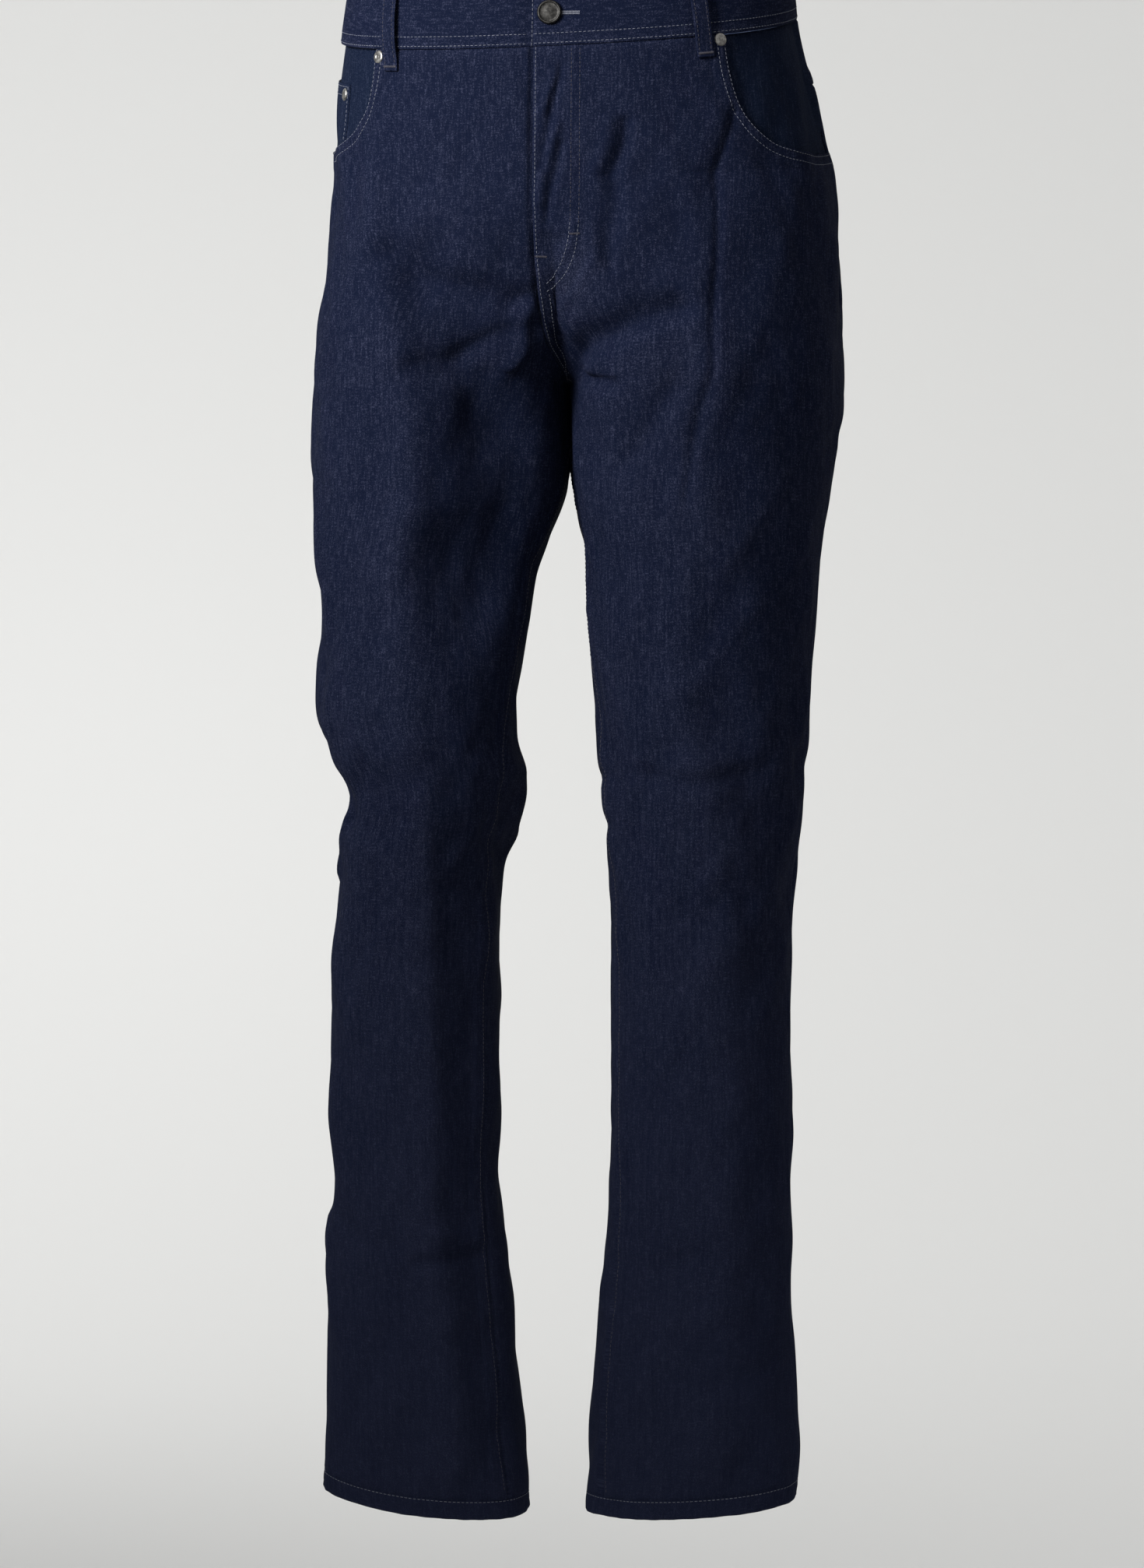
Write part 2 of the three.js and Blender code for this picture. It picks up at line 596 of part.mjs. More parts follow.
function beltLoop({ leg, top, end }) {
  const grid = gridOf(8, 2, (v, u) => {
    const z = mix(WAIST_TOP + LOOP_RISE, WAIST_SEAM - LOOP_BELOW, v);
    const angle = roundTo(leg, mix(top, end, v), (u - 0.5) * LOOP_WIDTH, z);
    const bow = LOOP_BOW * Math.sin(Math.PI * Math.min(1, v / LOOP_BOWED)) ** 0.7;
    const seat = BAND_PROUD * mix(2, 1.4, ease(LOOP_STEP.from, LOOP_STEP.to, v));
    return clothPoint(leg, angle, z, seat + bow + LOOP_CLOTH);
  });
  return wallGeometry(grid, LOOP_CLOTH);
}

// ---- Hems ----
const HEM_COLUMNS = 22;
const HEM_PROUD = 0.6;        // the rolled hem stands out over the panels above it

function hem(leg) {
  const grid = [HEM_TOP, (HEM_TOP + HEM_END) / 2, HEM_END].map((z) => {
    const start = outseam(leg, HEM_TOP);
    return Array.from({ length: HEM_COLUMNS }, (_, j) => (
      clothPoint(leg, start + 360 * j / HEM_COLUMNS, z, HEM_PROUD)));
  });
  return wallGeometry(grid, HEM_CLOTH, true);
}

// ---- Metal ----
const METAL_SIDES = 24;

// A turned piece standing on the cloth, its axis along the cloth's normal.
function turned(name, profile, place, material) {
  const points = profile.map(([radius, height]) => new THREE.Vector2(radius, height));
  const mesh = addPiece(name, new THREE.LatheGeometry(points, METAL_SIDES), material);
  mesh.position.copy(place.at);
  mesh.quaternion.setFromUnitVectors(new THREE.Vector3(0, 1, 0), place.normal);
}

const BUTTON_LEVEL = -15.5;
const BUTTON_RADIUS = 8.5;
const RIVET_RADIUS = 4.6;
const RIVET_INSET = 5;        // from the pocket's edge
const RIVET_BELOW = 5.6;      // under the band
const COIN_RIVET = { inset: 3, below: 7.5 };   // degrees from the coin pocket's edge, and down
const BUTTON_PROFILE = [
  [0, 0], [4.2, 0], [4.2, 1.4], [BUTTON_RADIUS - 0.7, 1.6], [BUTTON_RADIUS, 2.4],
  [BUTTON_RADIUS, 3.2], [BUTTON_RADIUS - 0.7, 3.9], [BUTTON_RADIUS - 1.7, 3.5], [0, 3.3],
];
const RIVET_PROFILE = [
  [0, 0], [RIVET_RADIUS, 0], [RIVET_RADIUS, 0.7], [RIVET_RADIUS - 0.8, 1.5], [1.6, 2], [0, 2],
];

SIDES.forEach((leg) => {
  addPiece(`front_${leg.name}`, frontPanel(leg), denim);
  addPiece(`back_${leg.name}`, backPanel(leg), denim);
  addPiece(`yoke_${leg.name}`, yoke(leg), denim);
  addPiece(`pocket_facing_${leg.name}`, pocketFacing(leg), denimUnder);
  addPiece(`back_pocket_${leg.name}`, backPocket(leg), denim);
  addPiece(`hem_${leg.name}`, hem(leg), denim);
  const corner = roundTo(leg, leg.pocketTop, RIVET_INSET, WAIST_SEAM);
  const place = clothPoint(leg, corner, WAIST_SEAM - RIVET_BELOW, 2 * SEAM_GAP);
  turned(`rivet_pocket_${leg.name}`, RIVET_PROFILE, place, nickel);
});
addPiece('coin_pocket', coinPocket(), denimUnder);
addPiece('waistband', waistband(), denim);
LOOP_PLACES.forEach((place) => addPiece(`belt_loop_${place.name}`, beltLoop(place), denim));

const [coinAngle, coinLevel] = [COIN.front - COIN_RIVET.inset, COIN.top - COIN_RIVET.below];
const coinCorner = clothPoint(RIGHT, coinAngle, coinLevel, COIN_SET + SEAM_GAP);
turned('rivet_coin_pocket', RIVET_PROFILE, coinCorner, nickel);
const buttonPlace = clothPoint(LEFT, 90, BUTTON_LEVEL, BAND_PROUD + SEAM_GAP);
turned('waist_button', BUTTON_PROFILE, buttonPlace, gunmetal);

export default jeans;
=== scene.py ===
"""Slim fit five-pocket jeans in dark rinsed denim, in the hollow form they keep when worn.

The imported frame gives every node's size and place. Each cloth piece here lies on the same form as
the frame's panels: a surface of sections taken down each leg. A place on it is named by a leg, by
the angle t round the section (0 outermost, 90 front, 180 innermost, -90 back) and by the level z
below the waist in millimetres. Meshes are in metres.
"""

import json
import logging
import math
from dataclasses import dataclass, field, replace
from enum import Enum
from typing import Callable, Sequence

import bpy
import numpy as np
from mathutils import Matrix, Vector
from mathutils.bvhtree import BVHTree

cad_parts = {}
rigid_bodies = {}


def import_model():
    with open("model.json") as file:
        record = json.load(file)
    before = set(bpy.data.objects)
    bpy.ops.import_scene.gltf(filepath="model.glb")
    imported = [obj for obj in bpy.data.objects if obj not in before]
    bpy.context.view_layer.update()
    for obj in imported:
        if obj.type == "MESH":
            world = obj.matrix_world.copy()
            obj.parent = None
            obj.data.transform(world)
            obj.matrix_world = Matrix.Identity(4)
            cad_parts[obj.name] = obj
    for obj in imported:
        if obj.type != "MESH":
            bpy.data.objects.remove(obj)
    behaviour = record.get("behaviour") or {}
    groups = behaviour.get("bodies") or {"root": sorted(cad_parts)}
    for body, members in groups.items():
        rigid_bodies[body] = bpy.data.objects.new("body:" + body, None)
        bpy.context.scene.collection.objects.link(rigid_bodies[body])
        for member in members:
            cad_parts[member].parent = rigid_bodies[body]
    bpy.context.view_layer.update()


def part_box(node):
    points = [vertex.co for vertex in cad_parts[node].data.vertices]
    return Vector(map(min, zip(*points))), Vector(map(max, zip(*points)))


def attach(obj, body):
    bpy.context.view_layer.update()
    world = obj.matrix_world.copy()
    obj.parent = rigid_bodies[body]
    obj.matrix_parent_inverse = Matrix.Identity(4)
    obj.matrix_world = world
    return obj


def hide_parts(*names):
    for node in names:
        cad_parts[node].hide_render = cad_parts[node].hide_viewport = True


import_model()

log = logging.getLogger("jeans")
Array = np.ndarray
Piece = bpy.types.Object
Material = bpy.types.Material
Socket = bpy.types.NodeSocket
MM = 0.001
BODY = "root"

# ---- The form's driving dimensions, millimetres and degrees ----
WAIST_TOP = 4.0  # the band's upper edge
WAIST_SEAM = -38.0  # the band's lower edge
CROTCH = -290.0
HEM_TOP = -1074.0
HEM_END = -1087.0
CROTCH_REACH = 150.0  # height over which the two legs' sections run together
HIP_ROUNDNESS = 2.25  # power of a section's curve, 2 for an ellipse
LEG_ROUNDNESS = 2.06
WAIST_PITCH = 12.0  # tilt of the waist, lower in front
WAIST_ROLL = 1.8  # and lower on the wearer's right
TILT = (-250.0, -45.0)  # levels that the tilt sets in between
HANG_START = -900.0  # level that the hem's slant starts at
SEAM_HALF = 0.05
LAP_WIDTH = 13.0  # of the fly past the middle plane
LAP_END = CROTCH + 26.0
FLY_END = -205.0
FLY_CLOSED = -236.0
UNDERLAP_END = -262.0
FRONT_BREAK = -175.0  # inner level beside the pocket mouth's lower end
YOKE_SIDE = -84.0
YOKE_CENTRE = -112.0
FOLD_FREE = (1.5, 16.0)  # from the middle plane, where folds are held down and where they're free
PITCH = 3.0  # between rows and columns
FINE = (0.0, 0.7, 1.6, 3.0)  # places of the close rows and columns beside an edge


def ease(start: float, end: float, value: Array) -> Array:
    """Smooth step from 0 at start to 1 at end."""
    f = np.clip((value - start) / (end - start), 0.0, 1.0)
    return f * f * (3.0 - 2.0 * f)


def mix(a: Array, b: Array, f: Array) -> Array:
    """Straight blend from a to b."""
    return a + (b - a) * f


def power(value: Array, exponent: Array) -> Array:
    """Power of a value's size with its sign kept."""
    return np.sign(value) * np.abs(value) ** exponent


def spans(points: Array, axis: int = 0) -> Array:
    """Length along an axis of points, from its first to each of them.

    Args:
        points: places along the last axis.
        axis: the axis to go along.

    Returns:
        Lengths in the shape of the points.
    """
    steps = np.linalg.norm(np.diff(points, axis=axis), axis=-1)
    zero = np.zeros_like(np.take(points[..., 0], [0], axis=axis))
    return np.concatenate([zero, np.cumsum(steps, axis=axis)], axis=axis)


def unit(vectors: Array) -> Array:
    """Vectors of length 1."""
    return vectors / (np.linalg.norm(vectors, axis=-1, keepdims=True) + 1e-12)


def beside(distance: Array, width: float) -> Array:
    """Bell that is 1 at an edge and fades over a width."""
    return np.exp(-((distance / width) ** 2))


class Side(Enum):
    """The wearer's two sides, with the sign of x on each."""

    LEFT = 1
    RIGHT = -1


@dataclass(frozen=True)
class Fold:
    """A ridge or trough along a path of (t, z) points.

    Attributes:
        height: millimetres out of the cloth, negative for a trough.
        width: distance at which it has fallen to a third, millimetres.
        path: its points.
        lean: how many times wider its left side is than its right one.
    """

    height: float
    width: float
    path: tuple[tuple[float, float], ...]
    lean: float = 1.0

    def relief(self, t: Array, z: Array, per_degree: Array) -> Array:
        """Height at points.

        Args:
            t: angles in degrees.
            z: levels.
            per_degree: millimetres to a degree at each point.

        Returns:
            Millimetres out of the cloth.
        """
        path = np.array(self.path)
        middle = (path[0, 0] + path[-1, 0]) / 2
        angle = (t - middle + 180.0) % 360.0 - 180.0 + middle
        reach = 3.0 * self.width * max(self.lean, 1.0)
        near = (z > path[:, 1].min() - reach) & (z < path[:, 1].max() + reach)
        out = np.zeros_like(t)
        if not near.any():
            return out
        angle, level, scale = angle[near], z[near], per_degree[near]
        best = np.full(angle.shape, 1e9)
        side = np.zeros_like(best)
        for (t0, z0), (t1, z1) in zip(path[:-1], path[1:]):
            run = np.stack([(t1 - t0) * scale, np.full_like(scale, z1 - z0)])
            point = np.stack([(angle - t0) * scale, level - z0])
            share = np.clip((run * point).sum(0) / (run * run).sum(0), 0.0, 1.0)
            gap = np.hypot(*(point - run * share))
            closer = gap < best
            best = np.where(closer, gap, best)
            across = (run[0] * point[1] - run[1] * point[0]) / np.hypot(*run)
            side = np.where(closer, across / np.maximum(gap, 1e-6), side)
        width = self.width * (1.0 + (self.lean - 1.0) * (side + 1.0) / 2.0)
        out[near] = self.height * np.exp(-((best / width) ** 2))
        return out


@dataclass(frozen=True)
class Leg:
    """One leg's form.

    Attributes:
        side: which of the wearer's sides it is on.
        sections: rows of z, outer, inner, front and back.
        seams: rows of z and the angles of the outseam and the inseam.
        folds: its ridges and troughs.
        pocket_top: angle where the pocket's mouth meets the waistband.
        pocket_depth: of the pocket's mouth below the waistband.
        pocket_curve: the smaller, the squarer the mouth's corner.
        loop: angles of the front belt loop's top and end.
        hem_lift: rise of the hem on the outer side.
        hem_drop: fall of the hem all round.
        hem_dip: fall of the hem in front.
    """

    side: Side
    sections: tuple[tuple[float, ...], ...]
    seams: tuple[tuple[float, ...], ...]
    folds: tuple[Fold, ...]
    pocket_top: float
    pocket_depth: float
    pocket_curve: float
    loop: tuple[float, float]
    hem_lift: float
    hem_drop: float
    hem_dip: float

    @property
    def name(self) -> str:
        """Side name in the frame's node names."""
        return self.side.name.lower()

    @property
    def sign(self) -> int:
        """Sign of x on this side."""
        return self.side.value


LEFT = Leg(
    side=Side.LEFT,
    # z, outer, inner, front, back
    sections=(
        (0, 155, 0, -119, 118),
        (-50, 161, 0, -121, 122),
        (-105, 174, 0, -124, 129),
        (-165, 187.5, 0, -125, 137),
        (-235, 190, 0, -122, 138),
        (-290, 192, 0, -117, 125),
        (-345, 186, 0.8, -107, 106),
        (-375, 182, 4, -104, 97),
        (-415, 177, 11, -100, 88),
        (-480, 171, 14.5, -91, 75),
        (-560, 167, 22, -79, 64),
        (-635, 158, 26.5, -70, 67),
        (-700, 155, 28, -64, 68),
        (-780, 156, 28, -58, 61),
        (-860, 155, 27, -55, 54),
        (-945, 157, 20, -53, 49),
        (-1020, 160, 13.5, -52, 47),
        (-1087, 160, 10.5, -52, 46),
    ),
    # z, outseam, inseam
    seams=(
        (0, -4, 180),
        (CROTCH, -4, 180),
        (-415, -2, 170),
        (-700, 0, 152),
        (-1085, 2, 142),
    ),
    # height, width, path of (t, z), lean
    folds=(
        # the crotch's drag lines, the bulge under them and the front crease
        Fold(-12.0, 12, ((147, -278), (128, -270), (112, -263), (97, -253), (86, -246)), 0.5),
        Fold(5.5, 24, ((132, -300), (113, -292), (98, -282))),
        Fold(-4.5, 4.5, ((158, -281), (146, -287), (133, -292), (121, -296))),
        Fold(-3.5, 9, ((97, -300), (107, -330), (117, -350))),
        Fold(
            3.6, 16,
            ((78, -262), (83, -330), (85, -381), (95, -434), (95, -542), (84, -596), (72, -650),
             (67, -786), (68, -868), (73, -950), (76, -1040)),
            1.3,
        ),
        Fold(2.0, 12, ((128, -320), (118, -352), (112, -400))),
        Fold(
            -2.2, 3.2,
            ((46, -92), (57, -150), (67, -202), (78, -258), (87, -317), (91, -376)),
            0.8,
        ),
        Fold(1.4, 8, ((52, -98), (64, -150), (73, -202), (84, -262), (92, -317), (96, -380))),
        Fold(-3.6, 3.8, ((75, -96), (76, -115), (80, -147), (89, -179), (99, -216)), 1.2),
        Fold(1.6, 4, ((79, -96), (80, -115), (84, -147), (93, -179), (103, -214))),
        Fold(1.2, 16, ((30, -180), (24, -260), (20, -330))),
        # thigh and knee
        Fold(-1.8, 12, ((70, -500), (92, -540), (112, -560))),
        Fold(1.4, 10, ((60, -452), (84, -498), (106, -512))),
        Fold(-1.5, 6, ((62, -566), (90, -572), (128, -566))),
        Fold(1.3, 8, ((58, -554), (92, -560), (120, -556))),
        Fold(-2.2, 6, ((150, -568), (168, -566), (186, -570))),
        Fold(-2.0, 6, ((152, -602), (170, -600), (188, -604))),
        Fold(-1.6, 14, ((56, -640), (82, -664), (104, -668))),
        Fold(1.2, 14, ((84, -700), (90, -780), (94, -880))),
        Fold(-1.2, 12, ((60, -760), (84, -800), (100, -815))),
        # shin and hem
        Fold(-1.3, 9, ((84, -902), (112, -914), (140, -908))),
        Fold(1.1, 10, ((60, -934), (88, -948), (110, -944))),
        Fold(-1.2, 9, ((44, -986), (78, -996), (104, -990))),
        Fold(-1.0, 8, ((118, -1022), (142, -1032), (160, -1030))),
        # seat, back of the thigh and of the knee
        Fold(-5.0, 17, ((-140, -288), (-112, -306), (-80, -330))),
        Fold(-3.4, 9, ((-150, -312), (-124, -338), (-92, -352)), 1.5),
        Fold(3.0, 12, ((-146, -300), (-118, -322), (-88, -340))),
        Fold(-2.2, 8, ((-122, -262), (-96, -280), (-66, -286))),
        Fold(-2.0, 12, ((-60, -380), (-90, -420), (-120, -440))),
        Fold(-4.2, 14, ((-60, -560), (-104, -560), (-150, -548))),
        Fold(-3.2, 7, ((-50, -590), (-86, -598), (-134, -584)), 1.4),
        Fold(2.6, 8, ((-54, -576), (-92, -582), (-138, -568))),
        Fold(-2.6, 7, ((-72, -528), (-106, -524), (-146, -514))),
        Fold(-1.8, 8, ((-48, -628), (-82, -640), (-118, -632))),
        Fold(-1.6, 10, ((-40, -720), (-84, -738), (-126, -728))),
        Fold(-1.4, 10, ((-66, -850), (-100, -862), (-138, -846))),
        Fold(-1.8, 8, ((-50, -960), (-92, -974), (-132, -962))),
        Fold(1.4, 9, ((-56, -948), (-96, -958), (-128, -948))),
        Fold(-1.3, 8, ((-84, -1016), (-118, -1026), (-152, -1014))),
        Fold(-1.6, 9, ((-26, -300), (-8, -322), (12, -330))),
        Fold(-1.4, 9, ((-22, -548), (-4, -560), (18, -556))),
    ),
    pocket_top=45,
    pocket_depth=93,
    pocket_curve=0.54,
    loop=(54.6, 52.4),
    hem_lift=8.5,
    hem_drop=-3.5,
    hem_dip=7,
)
RIGHT = Leg(
    side=Side.RIGHT,
    # z, outer, inner, front, back
    sections=(
        (0, 158, 0, -119, 118),
        (-50, 165, 0, -121, 122),
        (-105, 169, 0, -124, 129),
        (-165, 171, 0, -125, 137),
        (-235, 178, 0, -122, 138),
        (-290, 182.5, 0, -117, 123),
        (-345, 182.5, 0.5, -120, 95),
        (-375, 180, 4.5, -121, 80),
        (-415, 177, 20.5, -123, 62),
        (-455, 171, 25, -126, 46),
        (-490, 172, 30.5, -128, 34),
        (-525, 174, 35.5, -129, 24),
        (-558, 161, 38, -128, 17),
        (-584, 151, 41, -123, 21),
        (-612, 157.5, 44.5, -113, 27),
        (-650, 161, 47.5, -102, 34),
        (-700, 167, 49, -90, 40),
        (-780, 169.5, 49, -76, 44),
        (-860, 169, 50, -68, 44),
        (-945, 173, 41, -62, 43),
        (-1020, 174, 34, -60, 42),
        (-1091, 176.5, 28.5, -60, 42),
    ),
    # z, outseam, inseam
    seams=(
        (0, -4, 180),
        (CROTCH, -4, 180),
        (-415, 0, 172),
        (-700, 6, 156),
        (-1085, 15, 146),
    ),
    # height, width, path of (t, z), lean
    folds=(
        # the two drag lines from the hip to the crotch, the lobe between them, and the front ridge
        Fold(-8.5, 16, ((60, -200), (70, -218), (86, -227), (98, -234), (114, -243)), 0.7),
        Fold(-6.0, 13, ((86, -284), (96, -282), (108, -273), (117, -265), (125, -257)), 0.7),
        Fold(4.5, 6, ((119, -244), (125, -259), (129, -274), (129, -284))),
        Fold(
            6.5, 18,
            ((44, -140), (52, -184), (61, -216), (73, -256), (84, -289), (86, -332), (87, -381)),
            0.7,
        ),
        Fold(6.0, 18, ((86, -400), (85, -434), (88, -488), (97, -540))),
        Fold(-14.0, 24, ((72, -218), (88, -247), (102, -270), (110, -290), (114, -306)), 1.35),
        Fold(-17.0, 44, ((134, -335), (139, -380), (134, -440)), 0.65),
        Fold(-6.0, 26, ((112, -345), (112, -385), (108, -430))),
        Fold(1.4, 12, ((20, -380), (24, -420), (34, -452))),
        # the bent knee: bulge inside, pinch outside and the pull lines between them
        Fold(13.0, 18, ((190, -566), (202, -604))),
        Fold(-3.8, 5, ((4, -544), (14, -560), (20, -578), (30, -596)), 1.8),
        Fold(2.2, 5, ((26, -590), (18, -612), (12, -634))),
        Fold(2.0, 12, ((34, -560), (60, -548), (86, -552))),
        Fold(-1.6, 10, ((40, -600), (66, -604), (92, -596))),
        Fold(-2.4, 8, ((150, -606), (162, -616), (176, -622))),
        Fold(2.4, 9, ((138, -560), (156, -566), (172, -560))),
        Fold(-1.6, 10, ((128, -640), (142, -650), (160, -648))),
        # shin and hem
        Fold(
            5.5, 20,
            ((98, -596), (104, -650), (105, -704), (107, -786), (105, -868), (110, -950),
             (110, -1050)),
            0.6,
        ),
        Fold(-3.0, 16, ((134, -650), (140, -780), (140, -900), (142, -1040))),
        Fold(-2.5, 22, ((50, -700), (50, -860), (54, -1040))),
        Fold(2.0, 6, ((104, -887), (122, -889), (142, -893))),
        Fold(-2.8, 6, ((96, -908), (116, -905), (144, -901)), 0.8),
        Fold(3.0, 7, ((4, -880), (8, -888), (12, -896))),
        Fold(-1.4, 8, ((28, -880), (56, -894), (84, -898))),
        Fold(-1.2, 10, ((60, -962), (92, -972), (122, -964))),
        Fold(-1.2, 9, ((90, -1020), (120, -1030), (146, -1024))),
        # seat, back of the thigh and of the knee
        Fold(-5.0, 17, ((-140, -290), (-112, -316), (-80, -345))),
        Fold(-3.2, 9, ((-150, -316), (-120, -344), (-88, -366)), 1.5),
        Fold(2.8, 12, ((-146, -302), (-116, -330), (-84, -352))),
        Fold(-2.2, 8, ((-120, -258), (-94, -274), (-60, -290))),
        Fold(-8.0, 17, ((-40, -548), (-80, -556), (-120, -560))),
        Fold(-6.0, 16, ((-50, -604), (-90, -608), (-130, -612))),
        Fold(-4.2, 8, ((-36, -520), (-78, -526), (-128, -530)), 1.5),
        Fold(3.6, 8, ((-44, -576), (-86, -584), (-132, -586))),
        Fold(-3.4, 7, ((-46, -634), (-86, -642), (-128, -638)), 0.8),
        Fold(2.2, 8, ((-50, -622), (-88, -627), (-124, -624))),
        Fold(-2.6, 7, ((-60, -490), (-92, -496), (-134, -492))),
        Fold(-1.8, 9, ((-62, -440), (-96, -456), (-130, -452))),
        Fold(-1.8, 10, ((-42, -730), (-84, -742), (-128, -732))),
        Fold(-1.6, 10, ((-70, -846), (-104, -858), (-142, -846))),
        Fold(-1.8, 8, ((-44, -956), (-86, -970), (-128, -960))),
        Fold(1.4, 9, ((-50, -944), (-90, -956), (-124, -946))),
        Fold(-1.3, 8, ((-88, -1020), (-118, -1030), (-150, -1018))),
    ),
    pocket_top=40.2,
    pocket_depth=80,
    pocket_curve=0.7,
    loop=(45.5, 48),
    hem_lift=16.5,
    hem_drop=-2,
    hem_dip=9,
)
LEGS = (LEFT, RIGHT)

# Puckers of the fly: height, width, path of (x, z), as they cross the middle plane
FLY_FOLDS = (
    Fold(2.2, 3.0, ((3, -58), (-2, -72), (-6, -86))),
    Fold(-2.6, 3.2, ((6, -54), (1, -78), (-3, -104), (-6, -132))),
    Fold(2.4, 3.2, ((4, -97), (-2, -120), (-6, -138), (-9, -162))),
    Fold(-2.4, 3.0, ((7, -112), (4, -132), (0, -150), (-4, -178))),
    Fold(-1.4, 3.4, ((-5, -190), (2, -196), (10, -190))),
    Fold(1.3, 3.4, ((8, -206), (14, -192), (18, -176))),
    Fold(-1.3, 3.4, ((26, -200), (20, -216), (10, -232))),
    Fold(1.2, 3.2, ((24, -214), (16, -228), (6, -240))),
    Fold(-1.2, 5.0, ((-20, -48), (-16, -70), (-14, -100))),
)


class Form:
    """The surface that every cloth piece lies on."""

    TURN = 0.4  # degrees and millimetres to each side that a normal is worked out from
    DROP = 0.6
    RIPPLES = 36
    RIPPLE_HEIGHT = 4.0
    KNEE = -580.0
    AROUND = np.linspace(-210.0, 210.0, 281)  # angles and levels of the grain's table
    DOWN = np.linspace(12.0, -1098.0, 186)

    def __init__(self) -> None:
        """Draws the slow ripples that lie all over the cloth."""
        rng = np.random.default_rng(11)
        across = rng.uniform(14.0, 70.0, self.RIPPLES)
        along = across * rng.uniform(1.6, 4.5, self.RIPPLES)
        heading = rng.uniform(0.0, math.tau, self.RIPPLES)
        waves = [np.cos(heading) / across, np.sin(heading) / across, 1.0 / along]
        self.waves = math.tau * np.stack(waves)
        self.phase = rng.uniform(0.0, math.tau, self.RIPPLES)
        self.swell = 0.0062 * across
        self.around: dict[Leg, Array] = {}

    @staticmethod
    def column(rows: Sequence[Sequence[float]], index: int, z: Array) -> Array:
        """Smooth value of one column of a table whose rows run downwards.

        Args:
            rows: the table, with the level first in each row.
            index: the column.
            z: levels.

        Returns:
            The column's value at each level.
        """
        table = np.array(rows, float)
        levels, values = table[:, 0], table[:, index]
        last = len(levels) - 1
        k = np.clip(np.searchsorted(-levels, -z, side="right") - 1, 0, last - 1)
        before, after = np.maximum(k - 1, 0), np.minimum(k + 2, last)
        span = levels[k + 1] - levels[k]
        slope_a = (values[k + 1] - values[before]) / (levels[k + 1] - levels[before]) * span
        slope_b = (values[after] - values[k]) / (levels[after] - levels[k]) * span
        f = (np.clip(z, levels[last], levels[0]) - levels[k]) / span
        f2, f3 = f * f, f * f * f
        start = values[k] * (2 * f3 - 3 * f2 + 1) + slope_a * (f3 - 2 * f2 + f)
        return start + values[k + 1] * (3 * f2 - 2 * f3) + slope_b * (f3 - f2)

    def section(self, leg: Leg, z: Array) -> tuple[Array, ...]:
        """A leg's section at levels.

        Args:
            leg: the leg.
            z: levels.

        Returns:
            Half width, middle x, front y, back y, roundness and the angle at the middle plane.
        """
        out, inner, front, back = (self.column(leg.sections, i, z) for i in (1, 2, 3, 4))
        roundness = mix(LEG_ROUNDNESS, HIP_ROUNDNESS, ease(CROTCH - 130, CROTCH + 60, z))
        above = z > CROTCH
        share = np.clip(1.0 - (z - CROTCH) / CROTCH_REACH, 0.0, 1.0)
        half = np.where(above, out / (1.0 + share), (out - inner) / 2)
        middle = np.where(above, half * share, (out + inner) / 2)
        meeting = np.where(above, 180.0 - np.degrees(np.arccos(share ** (roundness / 2))), 180.0)
        return half, middle, front, back, roundness, meeting

    def ring(self, leg: Leg, t: Array, z: Array) -> Array:
        """Points of a leg's smooth form, which runs on through the middle plane.

        Args:
            leg: the leg.
            t: angles.
            z: levels.

        Returns:
            Places in millimetres.
        """
        half, middle, front, back, roundness, _ = self.section(leg, z)
        cosine, sine = np.cos(np.radians(t)), np.sin(np.radians(t))
        x = middle + half * power(cosine, 2.0 / roundness) + SEAM_HALF
        y = (front + back) / 2 - (back - front) / 2 * power(sine, 2.0 / roundness)
        tilt = leg.sign * x * math.tan(math.radians(WAIST_ROLL)) + y * math.tan(
            math.radians(WAIST_PITCH)
        )
        hang = leg.hem_lift * (1 + cosine) / 2 - leg.hem_drop - leg.hem_dip * np.maximum(0, sine)
        level = z - WAIST_TOP + tilt * ease(*TILT, z) + hang * ease(HANG_START, HEM_END, z)
        return np.stack([leg.sign * x, y, level], axis=-1)

    def normal(self, leg: Leg, t: Array, z: Array) -> Array:
        """Outward normals of a leg's smooth form.

        Args:
            leg: the leg.
            t: angles.
            z: levels.

        Returns:
            Unit vectors.
        """
        across = self.ring(leg, t + self.TURN, z) - self.ring(leg, t - self.TURN, z)
        down = self.ring(leg, t, z + self.DROP) - self.ring(leg, t, z - self.DROP)
        return unit(np.cross(across, down) * -leg.sign)

    def relief(self, leg: Leg, t: Array, z: Array, at: Array) -> Array:
        """Height of the folds and ripples at points.

        Args:
            leg: the leg that the points are on.
            t: their angles.
            z: their levels.
            at: their places on the smooth form.

        Returns:
            Millimetres out of the form.
        """
        half, _, front, back, _, _ = self.section(leg, z)
        per_degree = np.radians((half + (back - front) / 2) / 2)
        total = np.zeros_like(t)
        for fold in leg.folds:
            total += fold.relief(t, z, per_degree)
        free = np.where(z > CROTCH - 16.0, ease(*FOLD_FREE, np.abs(at[..., 0])), 1.0)
        total *= free
        front_side = (at[..., 1] < -60.0) & (z > CROTCH + 20.0)
        one = np.ones_like(t)
        for fold in FLY_FOLDS:
            total += np.where(front_side, fold.relief(at[..., 0], z, one), 0.0)
        ripple = (np.sin(at @ self.waves + self.phase) * self.swell).sum(-1)
        return total + ripple / math.sqrt(self.RIPPLES) * self.RIPPLE_HEIGHT * self.calm(z)

    def calm(self, z: Array) -> Array:
        """Share of the ripples at a level: small by the stretched band, larger at the knees."""
        band = ease(-40.0, -110.0, z) * 0.75 + 0.25
        return band * (1.0 + 0.5 * np.exp(-(((z - self.KNEE) / 70.0) ** 2)))

